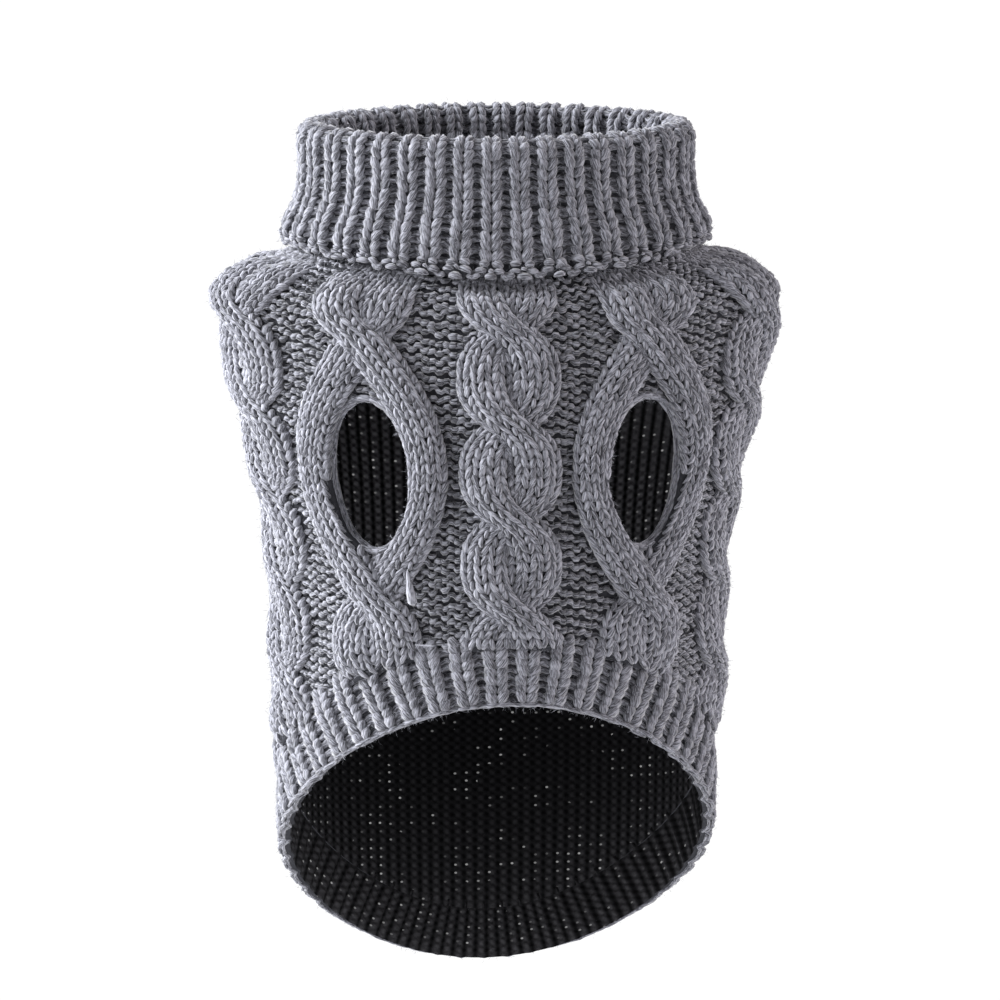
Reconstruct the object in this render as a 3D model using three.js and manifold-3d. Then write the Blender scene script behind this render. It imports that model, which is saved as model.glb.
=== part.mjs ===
// Dog sweater in chunky cable knit, shown filled out with no wearer: neck up, belly to -Y.
// Millimetres, +Z up. The origin is the centre of the neck seam, where the wearer's neck carries the garment.
// A turn is a share of the way round: 0 at the middle of the belly, growing toward +X, 0.5 at the middle of
// the back. An outside viewer always sees turns grow to the right.

import * as THREE from 'three';
import { mergeVertices } from 'three/addons/utils/BufferGeometryUtils.js';
import Module from 'manifold-3d';

const wasm = await Module();
wasm.setup();

// Cloth
const WALL = 3;
const SEAM_GAP = 0.3;
const SIDE_SEAM_TURN = 0.25;

// Body: the cloth between the cables, an ellipse at each level
const BODY_SECTIONS = [
  { z: 0, halfWidth: 59.5, halfDepth: 33.5 },
  { z: -5, halfWidth: 65, halfDepth: 36.5 },
  { z: -9, halfWidth: 73, halfDepth: 39 },
  { z: -13, halfWidth: 82, halfDepth: 41 },
  { z: -20, halfWidth: 92, halfDepth: 44 },
  { z: -28, halfWidth: 91, halfDepth: 46.5 },
  { z: -38, halfWidth: 88.6, halfDepth: 49.5 },
  { z: -58, halfWidth: 83.8, halfDepth: 55 },
  { z: -82, halfWidth: 77.8, halfDepth: 59.5 },
  { z: -112, halfWidth: 73.4, halfDepth: 62 },
  { z: -140, halfWidth: 72.8, halfDepth: 63 },
  { z: -175, halfWidth: 72, halfDepth: 63 },
  { z: -208, halfWidth: 71.8, halfDepth: 61.5 },
  { z: -268, halfWidth: 70, halfDepth: 60 },
];

// Hem edge: high at the belly, low at the back. The rib band above it is knitted square to the edge.
const HEM = { middle: -206.6, rise: 59.6, band: 20.5, girth: 430 };
const HEM_RIBS_PER_PANEL = 24;
const RIB_HEIGHT = 2;

// A rib across its width: the knit wale is flat on top and the purl valley is narrow
const RIB_SHAPE = [
  { phase: -0.3, height: 1 },
  { phase: 0.3, height: 1 },
  { phase: 0.5, height: 0 },
];

// Cables: two strands wound round each other. Widths are measured on the chest girth.
const CHEST_GIRTH = 440;
const CABLE = { swing: 7.9, strandHalf: 8.8, crest: 4.2, lift: 1.3, spacing: 29.4, sharpness: 0.2 };
// Cables rise to their full height over this stretch below the collar's edge
const CABLE_RISE = { from: 2, to: 9 };

// The right half's cables, from the belly's middle to the back's. The left half mirrors them.
const LEG_CABLE_TURN = 0.106;
const CABLES = [
  { turn: 0, firstCrossing: -28.5, parted: false },
  { turn: LEG_CABLE_TURN, firstCrossing: -30.8, parted: true },
  { turn: 0.209, firstCrossing: -25.5, parted: false },
  { turn: 0.305, firstCrossing: -25.5, parted: false },
  { turn: 0.402, firstCrossing: -28.5, parted: false },
  { turn: 0.5, firstCrossing: -28.5, parted: false },
];

// The strands beside the belly's middle cable part below their first crossing, round the leg holes
const LEG_CABLE = { length: 83.1, swing: 20, strandHalf: 6.3, sharpness: 0 };
const LEG_HOLE = { z: -74.4, halfHeight: 24, halfWidth: 13.9, sides: 28, cutDepth: 30 };

// Collar: one tube of ribbing, its upper half folded down outside its lower half, the stand
const COLLAR_RIBS = 36;
const COLLAR_OVER = [
  { z: 30, halfWidth: 63.6, halfDepth: 36.8 },
  { z: 20, halfWidth: 63.3, halfDepth: 36.8 },
  { z: 13, halfWidth: 64, halfDepth: 37.4 },
  { z: 8, halfWidth: 65.6, halfDepth: 38.6 },
  { z: 3, halfWidth: 68, halfDepth: 40.2 },
  { z: -1, halfWidth: 69.3, halfDepth: 41 },
  { z: -5, halfWidth: 69.6, halfDepth: 41.4 },
  { z: -9, halfWidth: 76.2, halfDepth: 43 },
  { z: -13, halfWidth: 83.9, halfDepth: 45.2 },
];
const COLLAR_EDGE = { middle: -8.75, dip: 3.75 };
const COLLAR_FOLD = { z: 29.4, tilt: 2.8, height: 4, hollow: 1.2 };
const COLLAR_STAND = { halfWidth: 57.2, halfDepth: 31, wall: 2.6 };
const COLLAR_OVER_WALL = 2.4;
const COLLAR_OVER_ROWS = [0, 0.12, 0.24, 0.42, 0.65, 1];
const COLLAR_FOLD_ANGLES = [0.25, 0.5, 0.75];
const COLLAR_STAND_ROWS = [0, 0.4, 0.75, 1];
// The rows of the faces between the two layers
const COLLAR_OVER_BACK_ROWS = [0, 0.12, 0.24, 0.5, 1];
const COLLAR_STAND_BACK_ROWS = [0, 0.5, 1];
// The cast-off edge is a full ring, as high as the ribs
const CAST_OFF_SHARE = 0.13;

// Facets. The panels' rows keep step with the cable crossings.
const PANEL_COLUMNS = 50;
const PANEL_ROWS_PER_CROSSING = 4;
const BAND_ROWS = 4;
const HEM_CUT = { columns: 90, outside: 7, inside: -5, bottom: -300 };
const ARC_STEPS = 90;
const NORMAL_STEP = { turn: 0.0005, z: 0.1 };

const COLOURS = { cables: 0x8b8d94, ribs: 0x83858c };

// Sections

function interpolate(table, column, z) {
  // A smooth curve through one column of a table whose rows fall in z
  const last = table.length - 2;
  let i = 0;
  while (i < last && z < table[i + 1].z) i += 1;
  const slopeAt = (k) => {
    const above = table[Math.max(k - 1, 0)];
    const below = table[Math.min(k + 1, last + 1)];
    return (below[column] - above[column]) / (below.z - above.z);
  };
  const [from, to] = [table[i], table[i + 1]];
  const step = to.z - from.z;
  const t = THREE.MathUtils.clamp((z - from.z) / step, 0, 1);
  const rise = to[column] - from[column];
  const [m0, m1] = [slopeAt(i) * step, slopeAt(i + 1) * step];
  return from[column] + t * (m0 + t * (3 * rise - 2 * m0 - m1 + t * (m0 + m1 - 2 * rise)));
}

function ellipsePoint(halfWidth, halfDepth, turn, z) {
  // The point that lies this share of the outline's length round from the front
  const quarter = [0];
  for (let k = 1; k <= ARC_STEPS; k += 1) {
    const angle = ((k - 0.5) / ARC_STEPS) * (Math.PI / 2);
    const speed = Math.hypot(halfWidth * Math.cos(angle), halfDepth * Math.sin(angle));
    quarter.push(quarter[k - 1] + speed);
  }
  const around = turn - Math.floor(turn);
  const quadrant = Math.floor(around * 4);
  const forward = quadrant % 2 === 0;
  const part = around * 4 - quadrant;
  const length = (forward ? part : 1 - part) * quarter[ARC_STEPS];
  let k = 1;
  while (k < ARC_STEPS && quarter[k] < length) k += 1;
  const share = (k - 1 + (length - quarter[k - 1]) / (quarter[k] - quarter[k - 1])) / ARC_STEPS;
  const angle = share * (Math.PI / 2);
  const x = halfWidth * Math.sin(angle) * (around < 0.5 ? 1 : -1);
  const y = -halfDepth * Math.cos(angle) * (quadrant === 0 || quadrant === 3 ? 1 : -1);
  return new THREE.Vector3(x, y, z);
}

function bodyGround(turn, z) {
  const halfWidth = interpolate(BODY_SECTIONS, 'halfWidth', z);
  const halfDepth = interpolate(BODY_SECTIONS, 'halfDepth', z);
  return ellipsePoint(halfWidth, halfDepth, turn, z);
}

function bodyNormal(turn, z) {
  const across = bodyGround(turn + NORMAL_STEP.turn, z).sub(bodyGround(turn - NORMAL_STEP.turn, z));
  const down = bodyGround(turn, z - NORMAL_STEP.z).sub(bodyGround(turn, z + NORMAL_STEP.z));
  return down.cross(across).normalize();
}

function bodyPoint(turn, z, out) {
  return bodyGround(turn, z).addScaledVector(bodyNormal(turn, z), out);
}

// Hem and collar edges

function hemZ(turn) {
  return HEM.middle + HEM.rise * Math.cos(2 * Math.PI * turn);
}

function hemSlope(turn) {
  return (-2 * Math.PI * HEM.rise * Math.sin(2 * Math.PI * turn)) / HEM.girth;
}

function bandTopZ(turn) {
  return hemZ(turn) + HEM.band * Math.hypot(1, hemSlope(turn));
}

function bandTopTurn(turn) {
  // Where the rib that ends at this turn of the hem meets the body
  const slope = hemSlope(turn);
  return turn - (slope * HEM.band) / (HEM.girth * Math.hypot(1, slope));
}

function collarEdgeZ(turn) {
  return COLLAR_EDGE.middle - COLLAR_EDGE.dip * Math.cos(4 * Math.PI * turn);
}

function collarFoldZ(turn) {
  return COLLAR_FOLD.z - COLLAR_FOLD.tilt * Math.cos(2 * Math.PI * turn);
}

// Cables

function allCables() {
  const mirrored = CABLES.filter(({ turn }) => turn > 0 && turn < 0.5)
    .map((cable) => ({ ...cable, turn: -cable.turn }));
  return [...CABLES, ...mirrored];
}

function cableTwist(cable, z) {
  // How far a cable has wound, in half turns of its two strands, and how far they swing
  const { swing, strandHalf, spacing, sharpness } = CABLE;
  const wound = cable.firstCrossing - z;
  if (!cable.parted || wound < 0) return { phase: (Math.PI * wound) / spacing, swing, strandHalf, sharpness };
  const rejoined = wound - LEG_CABLE.length;
  if (rejoined > 0) return { phase: Math.PI * (1 + rejoined / spacing), swing, strandHalf, sharpness };
  const phase = (Math.PI * wound) / LEG_CABLE.length;
  return {
    phase,
    swing: LEG_CABLE.swing,
    strandHalf: THREE.MathUtils.lerp(strandHalf, LEG_CABLE.strandHalf, Math.sin(phase) ** 2),
    sharpness: LEG_CABLE.sharpness,
  };
}

function cableRelief(turn, z) {
  // Height of the cables over the ground, nothing under the collar
  const belowCollar = collarEdgeZ(turn) - z;
  const fade = THREE.MathUtils.smoothstep(belowCollar, CABLE_RISE.from, CABLE_RISE.to);
  let height = 0;
  for (const cable of allCables()) {
    const apart = turn - cable.turn;
    const offset = (apart - Math.round(apart)) * CHEST_GIRTH;
    const { phase, swing, strandHalf, sharpness } = cableTwist(cable, z);
    const place = swing * Math.sin(phase + sharpness * Math.sin(2 * phase));
    for (const side of [1, -1]) {
      const across = (offset - side * place) / strandHalf;
      const crest = CABLE.crest + side * CABLE.lift * Math.cos(phase);
      if (Math.abs(across) < 1) height = Math.max(height, crest * Math.sqrt(1 - across * across));
    }
  }
  return height * fade;
}

// Meshes

class Skin {
  // Points and triangles of one closed skin, built from lines of points sewn side by side
  constructor() {
    this.positions = [];
    this.triangles = [];
  }

  line(points) {
    return points.map((point) => {
      this.positions.push(point.x, point.y, point.z);
      return this.positions.length / 3 - 1;
    });
  }

  sew(a, b) {
    // Both lines run to the viewer's right and b lies below a. One may have twice the other's steps.
    const steps = Math.min(a.length, b.length) - 1;
    const fineA = (a.length - 1) / steps;
    const fineB = (b.length - 1) / steps;
    for (let k = 0; k < steps; k += 1) {
      const [a0, a1] = [a[k * fineA], a[(k + 1) * fineA]];
      const [b0, b1] = [b[k * fineB], b[(k + 1) * fineB]];
      if (fineA === 2) {
        const middle = a[k * fineA + 1];
        this.triangles.push(a0, b0, middle, middle, b0, b1, middle, b1, a1);
      } else if (fineB === 2) {
        const middle = b[k * fineB + 1];
        this.triangles.push(a0, b0, middle, a0, middle, a1, a1, middle, b1);
      } else {
        this.triangles.push(a0, b0, b1, a0, b1, a1);
      }
    }
  }

  sewAll(lines) {
    for (let k = 1; k < lines.length; k += 1) this.sew(lines[k - 1], lines[k]);
  }

  geometry() {
    const geometry = new THREE.BufferGeometry();
    geometry.setAttribute('position', new THREE.Float32BufferAttribute(this.positions, 3));
    geometry.setIndex(this.triangles);
    geometry.computeVertexNormals();
    return geometry;
  }
}

function steps(count) {
  return Array.from({ length: count + 1 }, (_, k) => k / count);
}

function wallGeometry({ columns, rows, outside, inside }) {
  // A wall between an outer and an inner grid. The inner one is plain, with half the steps each way.
  const skin = new Skin();
  const outer = rows.map((v) => skin.line(columns.map((u) => outside(u, v))));
  const everySecond = (list) => list.filter((_, k) => k % 2 === 0);
  const inner = everySecond(rows).map((v) => skin.line(everySecond(columns).map((u) => inside(u, v))));
  const columnOf = (grid, k) => grid.map((line) => line.at(k));
  skin.sewAll(outer);
  skin.sewAll([...inner].reverse());
  skin.sew(inner[0], outer[0]);
  skin.sew(outer.at(-1), inner.at(-1));
  skin.sew(columnOf(outer, 0), columnOf(inner, 0));
  skin.sew(columnOf(inner, -1), columnOf(outer, -1));
  return skin.geometry();
}

// Body panels

function panelLevels(lowest) {
  // Levels that fall in step with the cable crossings from the neck seam to below the lowest one asked
  const step = CABLE.spacing / PANEL_ROWS_PER_CROSSING;
  const levels = [0];
  const { firstCrossing } = CABLES[0];
  let z = firstCrossing + Math.floor(-firstCrossing / step) * step;
  while (levels.at(-1) > lowest || levels.length % 2 === 0) {
    levels.push(z);
    z -= step;
  }
  return levels;
}

function halfPanel(girth) {
  return SIDE_SEAM_TURN - SEAM_GAP / 2 / girth;
}

function panelSolid(middleTurn) {
  // One side of the body, from the neck seam to its rib band, between the side seams
  const half = halfPanel(CHEST_GIRTH);
  const turnAt = (u) => middleTurn + THREE.MathUtils.lerp(-half, half, u);
  const lowest = Math.min(bandTopZ(middleTurn), bandTopZ(SIDE_SEAM_TURN));
  const wall = toSolid(wallGeometry({
    columns: steps(PANEL_COLUMNS),
    rows: panelLevels(lowest),
    outside: (u, z) => bodyPoint(turnAt(u), z, cableRelief(turnAt(u), z)),
    inside: (u, z) => bodyPoint(turnAt(u), z, -WALL),
  }));
  return wall.subtract(belowBodySolid(middleTurn));
}

function belowBodySolid(middleTurn) {
  // What lies below the body's lower edge on one side, thicker than the wall, for cutting that edge
  const half = SIDE_SEAM_TURN + SEAM_GAP / CHEST_GIRTH;
  const pointAt = (u, v, out) => {
    const turn = middleTurn + THREE.MathUtils.lerp(-half, half, u);
    const edgeZ = bandTopZ(turn) + SEAM_GAP * Math.hypot(1, hemSlope(turn));
    return bodyPoint(turn, THREE.MathUtils.lerp(edgeZ, HEM_CUT.bottom, v), out);
  };
  return toSolid(wallGeometry({
    columns: steps(HEM_CUT.columns),
    rows: steps(2),
    outside: (u, v) => pointAt(u, v, HEM_CUT.outside),
    inside: (u, v) => pointAt(u, v, HEM_CUT.inside),
  }));
}

function legHoleGeometry(side) {
  // An oval plug that cuts a leg hole square through the wall
  const turn = side * LEG_CABLE_TURN;
  const outline = steps(LEG_HOLE.sides).slice(1).map((share) => {
    const angle = 2 * Math.PI * share;
    return new THREE.Vector2(LEG_HOLE.halfWidth * Math.sin(angle), LEG_HOLE.halfHeight * Math.cos(angle));
  });
  const geometry = new THREE.ExtrudeGeometry(new THREE.Shape(outline), {
    depth: LEG_HOLE.cutDepth,
    bevelEnabled: false,
  });
  geometry.translate(0, 0, -LEG_HOLE.cutDepth / 2);
  const out = bodyNormal(turn, LEG_HOLE.z).setZ(0).normalize();
  const up = new THREE.Vector3(0, 0, 1);
  const right = new THREE.Vector3().crossVectors(up, out);
  const place = new THREE.Matrix4().makeBasis(right, up, out).setPosition(bodyGround(turn, LEG_HOLE.z));
  return geometry.applyMatrix4(place);
}

function toSolid(geometry) {
  const bare = geometry.clone();
  bare.deleteAttribute('normal');
  bare.deleteAttribute('uv');
  const merged = mergeVertices(bare);
  const vertProperties = new Float32Array(merged.attributes.position.array);
  return new wasm.Manifold(new wasm.Mesh({
    numProp: 3,
    vertProperties,
    triVerts: new Uint32Array(merged.index.array),
  }));
}

function fromSolid(solid) {
  const { vertProperties, triVerts } = solid.getMesh();
  const geometry = new THREE.BufferGeometry();
  geometry.setAttribute('position', new THREE.Float32BufferAttribute(vertProperties, 3));
  geometry.setIndex(Array.from(triVerts));
  geometry.computeVertexNormals();
  return geometry;
}

function bellyPanelGeometry() {
  const holes = [-1, 1].map((side) => toSolid(legHoleGeometry(side)));
  return fromSolid(holes.reduce((rest, hole) => rest.subtract(hole), panelSolid(0)));
}

function backPanelGeometry() {
  return fromSolid(panelSolid(0.5));
}

// Ribs

function ribColumns(count) {
  // Places and heights across a row of ribs, as shares of the row, from valley to valley
  const columns = [{ share: 0, height: 0 }];
  for (let rib = 0; rib < count; rib += 1) {
    for (const { phase, height } of RIB_SHAPE) columns.push({ share: (rib + 0.5 + phase) / count, height });
  }
  return columns;
}

function hemBandGeometry(middleTurn) {
  // The rib band of one panel. Its ends follow the ribs, so it leans out over the side seams.
  const half = halfPanel(HEM.girth);
  const ribs = ribColumns(HEM_RIBS_PER_PANEL);
  const bandPoint = (share, v, out) => {
    const hemTurn = middleTurn + THREE.MathUtils.lerp(-half, half, share);
    const topTurn = bandTopTurn(hemTurn);
    const turn = THREE.MathUtils.lerp(topTurn, hemTurn, v);
    const z = THREE.MathUtils.lerp(bandTopZ(topTurn), hemZ(hemTurn), v);
    return bodyPoint(turn, z, out);
  };
  return wallGeometry({
    columns: ribs,
    rows: steps(BAND_ROWS),
    outside: (rib, v) => bandPoint(rib.share, v, rib.height * RIB_HEIGHT),
    inside: (rib, v) => bandPoint(rib.share, v, -WALL),
  });
}

// Collar

function ellipseNormal(halfWidth, halfDepth, turn) {
  const { x, y } = ellipsePoint(halfWidth, halfDepth, turn, 0);
  return new THREE.Vector3(x / halfWidth ** 2, y / halfDepth ** 2, 0).normalize();
}

function collarOverPoint(turn, z, out) {
  // On the turned-down layer, measured out from the bottom of its valleys
  const halfWidth = interpolate(COLLAR_OVER, 'halfWidth', z);
  const halfDepth = interpolate(COLLAR_OVER, 'halfDepth', z);
  const point = ellipsePoint(halfWidth, halfDepth, turn, z);
  return point.addScaledVector(ellipseNormal(halfWidth, halfDepth, turn), out);
}

function collarStandPoint(turn, z, out) {
  // On the stand, measured out from the bottom of the valleys of its bore
  const { halfWidth, halfDepth } = COLLAR_STAND;
  const point = ellipsePoint(halfWidth, halfDepth, turn, z);
  return point.addScaledVector(ellipseNormal(halfWidth, halfDepth, turn), out);
}

function collarFoldPoint(turn, share, height) {
  // Over the fold from the outer layer, at share 0, to the bore, at share 1
  const angle = Math.PI * share;
  const z = collarFoldZ(turn);
  const outer = collarOverPoint(turn, z, 0);
  const bore = collarStandPoint(turn, z, 0);
  const away = outer.clone().sub(bore).normalize();
  const up = new THREE.Vector3(0, 0, 1);
  return outer.lerp(bore, (1 - Math.cos(angle)) / 2)
    .addScaledVector(up, COLLAR_FOLD.height * Math.sin(angle))
    .addScaledVector(away.multiplyScalar(Math.cos(angle)).addScaledVector(up, Math.sin(angle)), height);
}

function collarGeometry() {
  // Up the bore, over the fold, down the outside, and back up between the two layers
  const skin = new Skin();
  const ribs = ribColumns(COLLAR_RIBS).slice(1);
  const plain = ribs.filter((_, k) => k % 2 === 0);
  const overZ = (turn, share) => THREE.MathUtils.lerp(collarEdgeZ(turn), collarFoldZ(turn), share);
  const standZ = (turn, share) => THREE.MathUtils.lerp(SEAM_GAP, collarFoldZ(turn), share);
  const rings = (columns, shares, pointAt) => shares.map((share) => {
    const ids = skin.line(columns.map((rib) => pointAt(rib.share, share, rib.height * RIB_HEIGHT)));
    return [...ids, ids[0]];
  });
  const bore = rings(ribs, COLLAR_STAND_ROWS, (turn, share, height) => (
    collarStandPoint(turn, standZ(turn, share), -height)));
  const fold = rings(ribs, COLLAR_FOLD_ANGLES, collarFoldPoint);
  const outside = rings(ribs, COLLAR_OVER_ROWS, (turn, share, height) => (
    collarOverPoint(turn, overZ(turn, share), share < CAST_OFF_SHARE ? RIB_HEIGHT : height)));
  const overBack = rings(plain, COLLAR_OVER_BACK_ROWS, (turn, share) => (
    collarOverPoint(turn, overZ(turn, share), -COLLAR_OVER_WALL)));
  const standBack = rings(plain, COLLAR_STAND_BACK_ROWS, (turn, share) => (
    collarStandPoint(turn, standZ(turn, share), COLLAR_STAND.wall)));
  const underFold = rings(plain, [COLLAR_FOLD.hollow], (turn, height) => {
    const z = collarFoldZ(turn);
    const back = collarStandPoint(turn, z, COLLAR_STAND.wall);
    const over = collarOverPoint(turn, z, -COLLAR_OVER_WALL);
    return back.lerp(over, 0.5).setZ(z + height);
  });
  skin.sewAll([
    ...bore, ...fold.reverse(), ...outside.reverse(),
    ...overBack, ...underFold, ...standBack.reverse(), bore[0],
  ]);
  return skin.geometry();
}

// The sweater

function woolMesh(name, geometry, colour) {
  const material = new THREE.MeshStandardMaterial({ color: colour, roughness: 0.95, metalness: 0 });
  const mesh = new THREE.Mesh(geometry, material);
  mesh.name = name;
  return mesh;
}

const sweater = new THREE.Group();
sweater.name = 'dog_sweater';
sweater.add(woolMesh('belly_panel', bellyPanelGeometry(), COLOURS.cables));
sweater.add(woolMesh('back_panel', backPanelGeometry(), COLOURS.cables));
sweater.add(woolMesh('belly_hem_rib', hemBandGeometry(0), COLOURS.ribs));
sweater.add(woolMesh('back_hem_rib', hemBandGeometry(0.5), COLOURS.ribs));
sweater.add(woolMesh('collar', collarGeometry(), COLOURS.ribs));

export default sweater;
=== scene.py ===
"""A small dog's sweater in chunky grey heather cable knit, filled out with no wearer.

Sizes are in millimetres and become metres when a mesh is made. +Z is up through the collar, -Y is out of the
belly, and the origin is the centre of the neck seam. A turn is a share of the way round: 0 at the belly's middle,
growing toward +X, 0.5 at the back's middle. Each piece is a thin cloth with its own stitches of yarn on it.
"""

from __future__ import annotations

import logging
from abc import ABC, abstractmethod
from dataclasses import dataclass, field, replace
from enum import Enum

import bpy
import numpy as np
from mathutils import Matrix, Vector

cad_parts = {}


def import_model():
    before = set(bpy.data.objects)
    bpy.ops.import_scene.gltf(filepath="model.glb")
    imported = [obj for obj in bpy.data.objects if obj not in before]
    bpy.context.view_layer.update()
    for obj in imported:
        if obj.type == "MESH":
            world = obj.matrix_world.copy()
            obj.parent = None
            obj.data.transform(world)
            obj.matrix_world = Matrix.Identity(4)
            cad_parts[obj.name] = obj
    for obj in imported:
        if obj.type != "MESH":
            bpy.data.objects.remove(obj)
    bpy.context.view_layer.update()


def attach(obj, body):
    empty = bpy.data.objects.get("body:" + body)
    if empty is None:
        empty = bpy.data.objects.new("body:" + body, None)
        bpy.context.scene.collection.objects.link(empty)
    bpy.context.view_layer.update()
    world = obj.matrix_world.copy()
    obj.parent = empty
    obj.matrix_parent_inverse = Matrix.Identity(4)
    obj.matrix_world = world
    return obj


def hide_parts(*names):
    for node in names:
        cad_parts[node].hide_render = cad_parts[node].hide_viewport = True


LOG = logging.getLogger("dog_sweater")
MM = 0.001
ROUND = 2 * np.pi
Array = np.ndarray
Colour = tuple[float, float, float]


# Forms


@dataclass(frozen=True)
class Section:
    """One level of a form: an ellipse, half as wide along X and half as deep along Y."""

    z: float
    half_width: float
    half_depth: float


BODY_SECTIONS = (
    Section(0, 59.5, 33.5),
    Section(-5, 65, 36.5),
    Section(-9, 73, 39),
    Section(-13, 82, 41),
    Section(-20, 92, 44),
    Section(-28, 91, 46.5),
    Section(-38, 88.6, 49.5),
    Section(-58, 83.8, 55),
    Section(-82, 77.8, 59.5),
    Section(-112, 73.4, 62),
    Section(-140, 72.8, 63),
    Section(-175, 72, 63),
    Section(-208, 71.8, 61.5),
    Section(-268, 70, 60),
)

COLLAR_OVER = (
    Section(30, 63.6, 36.8),
    Section(20, 63.3, 36.8),
    Section(13, 64, 37.4),
    Section(8, 65.6, 38.6),
    Section(3, 68, 40.2),
    Section(-1, 69.3, 41),
    Section(-5, 69.6, 41.4),
    Section(-9, 76.2, 43),
    Section(-13, 83.9, 45.2),
)


def smooth(levels: Array, values: Array, z: Array) -> Array:
    """Runs a smooth curve through one column of a section table.

    Args:
        levels: the table's levels, in falling order.
        values: the column's value at each level.
        z: the levels to read it at.

    Returns:
        The column's value at each z.
    """
    last = len(levels) - 1
    rows = np.arange(last + 1)
    before, after = np.maximum(rows - 1, 0), np.minimum(rows + 1, last)
    slopes = (values[after] - values[before]) / (levels[after] - levels[before])
    i = np.clip(np.searchsorted(-levels, -z, side="right") - 1, 0, last - 1)
    step = levels[i + 1] - levels[i]
    t = np.clip((z - levels[i]) / step, 0, 1)
    rise = values[i + 1] - values[i]
    m0, m1 = slopes[i] * step, slopes[i + 1] * step
    return values[i] + t * (m0 + t * (3 * rise - 2 * m0 - m1 + t * (m0 + m1 - 2 * rise)))


def section_sizes(sections: tuple[Section, ...], z: Array) -> tuple[Array, Array]:
    """Reads the half width and half depth of a form at each z."""
    levels = np.array([s.z for s in sections], float)
    widths = np.array([s.half_width for s in sections], float)
    depths = np.array([s.half_depth for s in sections], float)
    return smooth(levels, widths, z), smooth(levels, depths, z)


def smoothstep(x: Array, low: float, high: float) -> Array:
    """Eases from 0 at low to 1 at high."""
    t = np.clip((x - low) / (high - low), 0, 1)
    return t * t * (3 - 2 * t)


def unit(vectors: Array) -> Array:
    """Gives each vector a length of 1."""
    return vectors / np.maximum(np.linalg.norm(vectors, axis=-1, keepdims=True), 1e-9)


class EllipseTable:
    """Points that lie at equal shares of an ellipse's length round."""

    def __init__(self, turns: int = 1440, fine: int = 2880) -> None:
        """Sets how many shares are kept and how finely the length is measured."""
        self.shares = np.linspace(0, 1, turns + 1)
        self.angles = np.linspace(0, ROUND, fine + 1)

    def row(self, half_width: float, half_depth: float) -> Array:
        """The x and y of each share, from the belly's middle round by +X."""
        x, y = half_width * np.sin(self.angles), -half_depth * np.cos(self.angles)
        length = np.concatenate([[0], np.cumsum(np.hypot(np.diff(x), np.diff(y)))])
        at = np.interp(self.shares * length[-1], length, self.angles)
        return np.stack([half_width * np.sin(at), -half_depth * np.cos(at)], axis=1)


class Surface:
    """A grid of points with outward normals, closed round the turn, that is read anywhere on it."""

    def __init__(self, points: Array, along: Array, facing: int) -> None:
        """Keeps the grid and works out its normals.

        Args:
            points: rows of points, each row from turn 0 to turn 1, both ends kept.
            along: the rising coordinate of each row.
            facing: 1 where the turn crossed with the rows' direction points outward, else -1.
        """
        self.points, self.along, self.turns = points, along, points.shape[1] - 1
        round_it = np.roll(points[:, :-1], -1, 1) - np.roll(points[:, :-1], 1, 1)
        round_it = np.concatenate([round_it, round_it[:, :1]], 1)
        self.normals = unit(facing * np.cross(round_it, np.gradient(points, axis=0)))

    def at(self, turn: Array, along: Array, out: Array | float = 0.0) -> Array:
        """Points at a turn and a place along the rows, moved out of the surface."""
        u = np.mod(turn, 1.0) * self.turns
        i = np.minimum(u.astype(int), self.turns - 1)
        row = np.interp(along, self.along, np.arange(len(self.along)))
        k = np.minimum(row.astype(int), len(self.along) - 2)
        u, v = (u - i)[..., None], (row - k)[..., None]

        def mix(grid: Array) -> Array:
            """Reads a grid between its four nearest points."""
            low = grid[k, i] * (1 - u) + grid[k, i + 1] * u
            high = grid[k + 1, i] * (1 - u) + grid[k + 1, i + 1] * u
            return low * (1 - v) + high * v

        return mix(self.points) + unit(mix(self.normals)) * np.asarray(out)[..., None]


def body_surface(step: float = 0.5) -> Surface:
    """The body's cloth between the cables, by z."""
    z = np.arange(BODY_SECTIONS[-1].z, BODY_SECTIONS[0].z + step / 2, step)
    ellipse = EllipseTable()
    rows = [ellipse.row(a, b) for a, b in zip(*section_sizes(BODY_SECTIONS, z))]
    heights = np.broadcast_to(z[:, None, None], (len(z), len(ellipse.shares), 1))
    return Surface(np.concatenate([np.stack(rows), heights], axis=2), z, 1)


class Panel(Enum):
    """A side of the garment, by the turn of its middle."""

    BELLY = 0.0
    BACK = 0.5


SIDE_SEAM = 0.25


def on_panel(panel: Panel, turn: Array) -> Array:
    """Tells which turns lie on a panel, up to the side seams."""
    apart = turn - panel.value
    return np.abs(apart - np.round(apart)) < SIDE_SEAM


@dataclass(frozen=True)
class Hem:
    """The hem's edge, high at the belly and low at the back, and its rib band, knitted square to it."""

    middle: float = -206.6
    rise: float = 59.6
    band: float = 20.5
    girth: float = 430
    ribs_per_panel: int = 24

    def edge(self, turn: Array) -> Array:
        """The z of the edge."""
        return self.middle + self.rise * np.cos(ROUND * turn)

    def slope(self, turn: Array) -> Array:
        """How steeply the edge falls on the cloth."""
        return -ROUND * self.rise * np.sin(ROUND * turn) / self.girth

    def band_top(self, turn: Array) -> Array:
        """The z where the body ends and the band begins."""
        return self.edge(turn) + self.band * np.hypot(1, self.slope(turn))

    def band_top_turn(self, turn: Array) -> Array:
        """The turn where the rib that ends at this turn of the edge meets the body."""
        slope = self.slope(turn)
        return turn - slope * self.band / (self.girth * np.hypot(1, slope))


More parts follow.
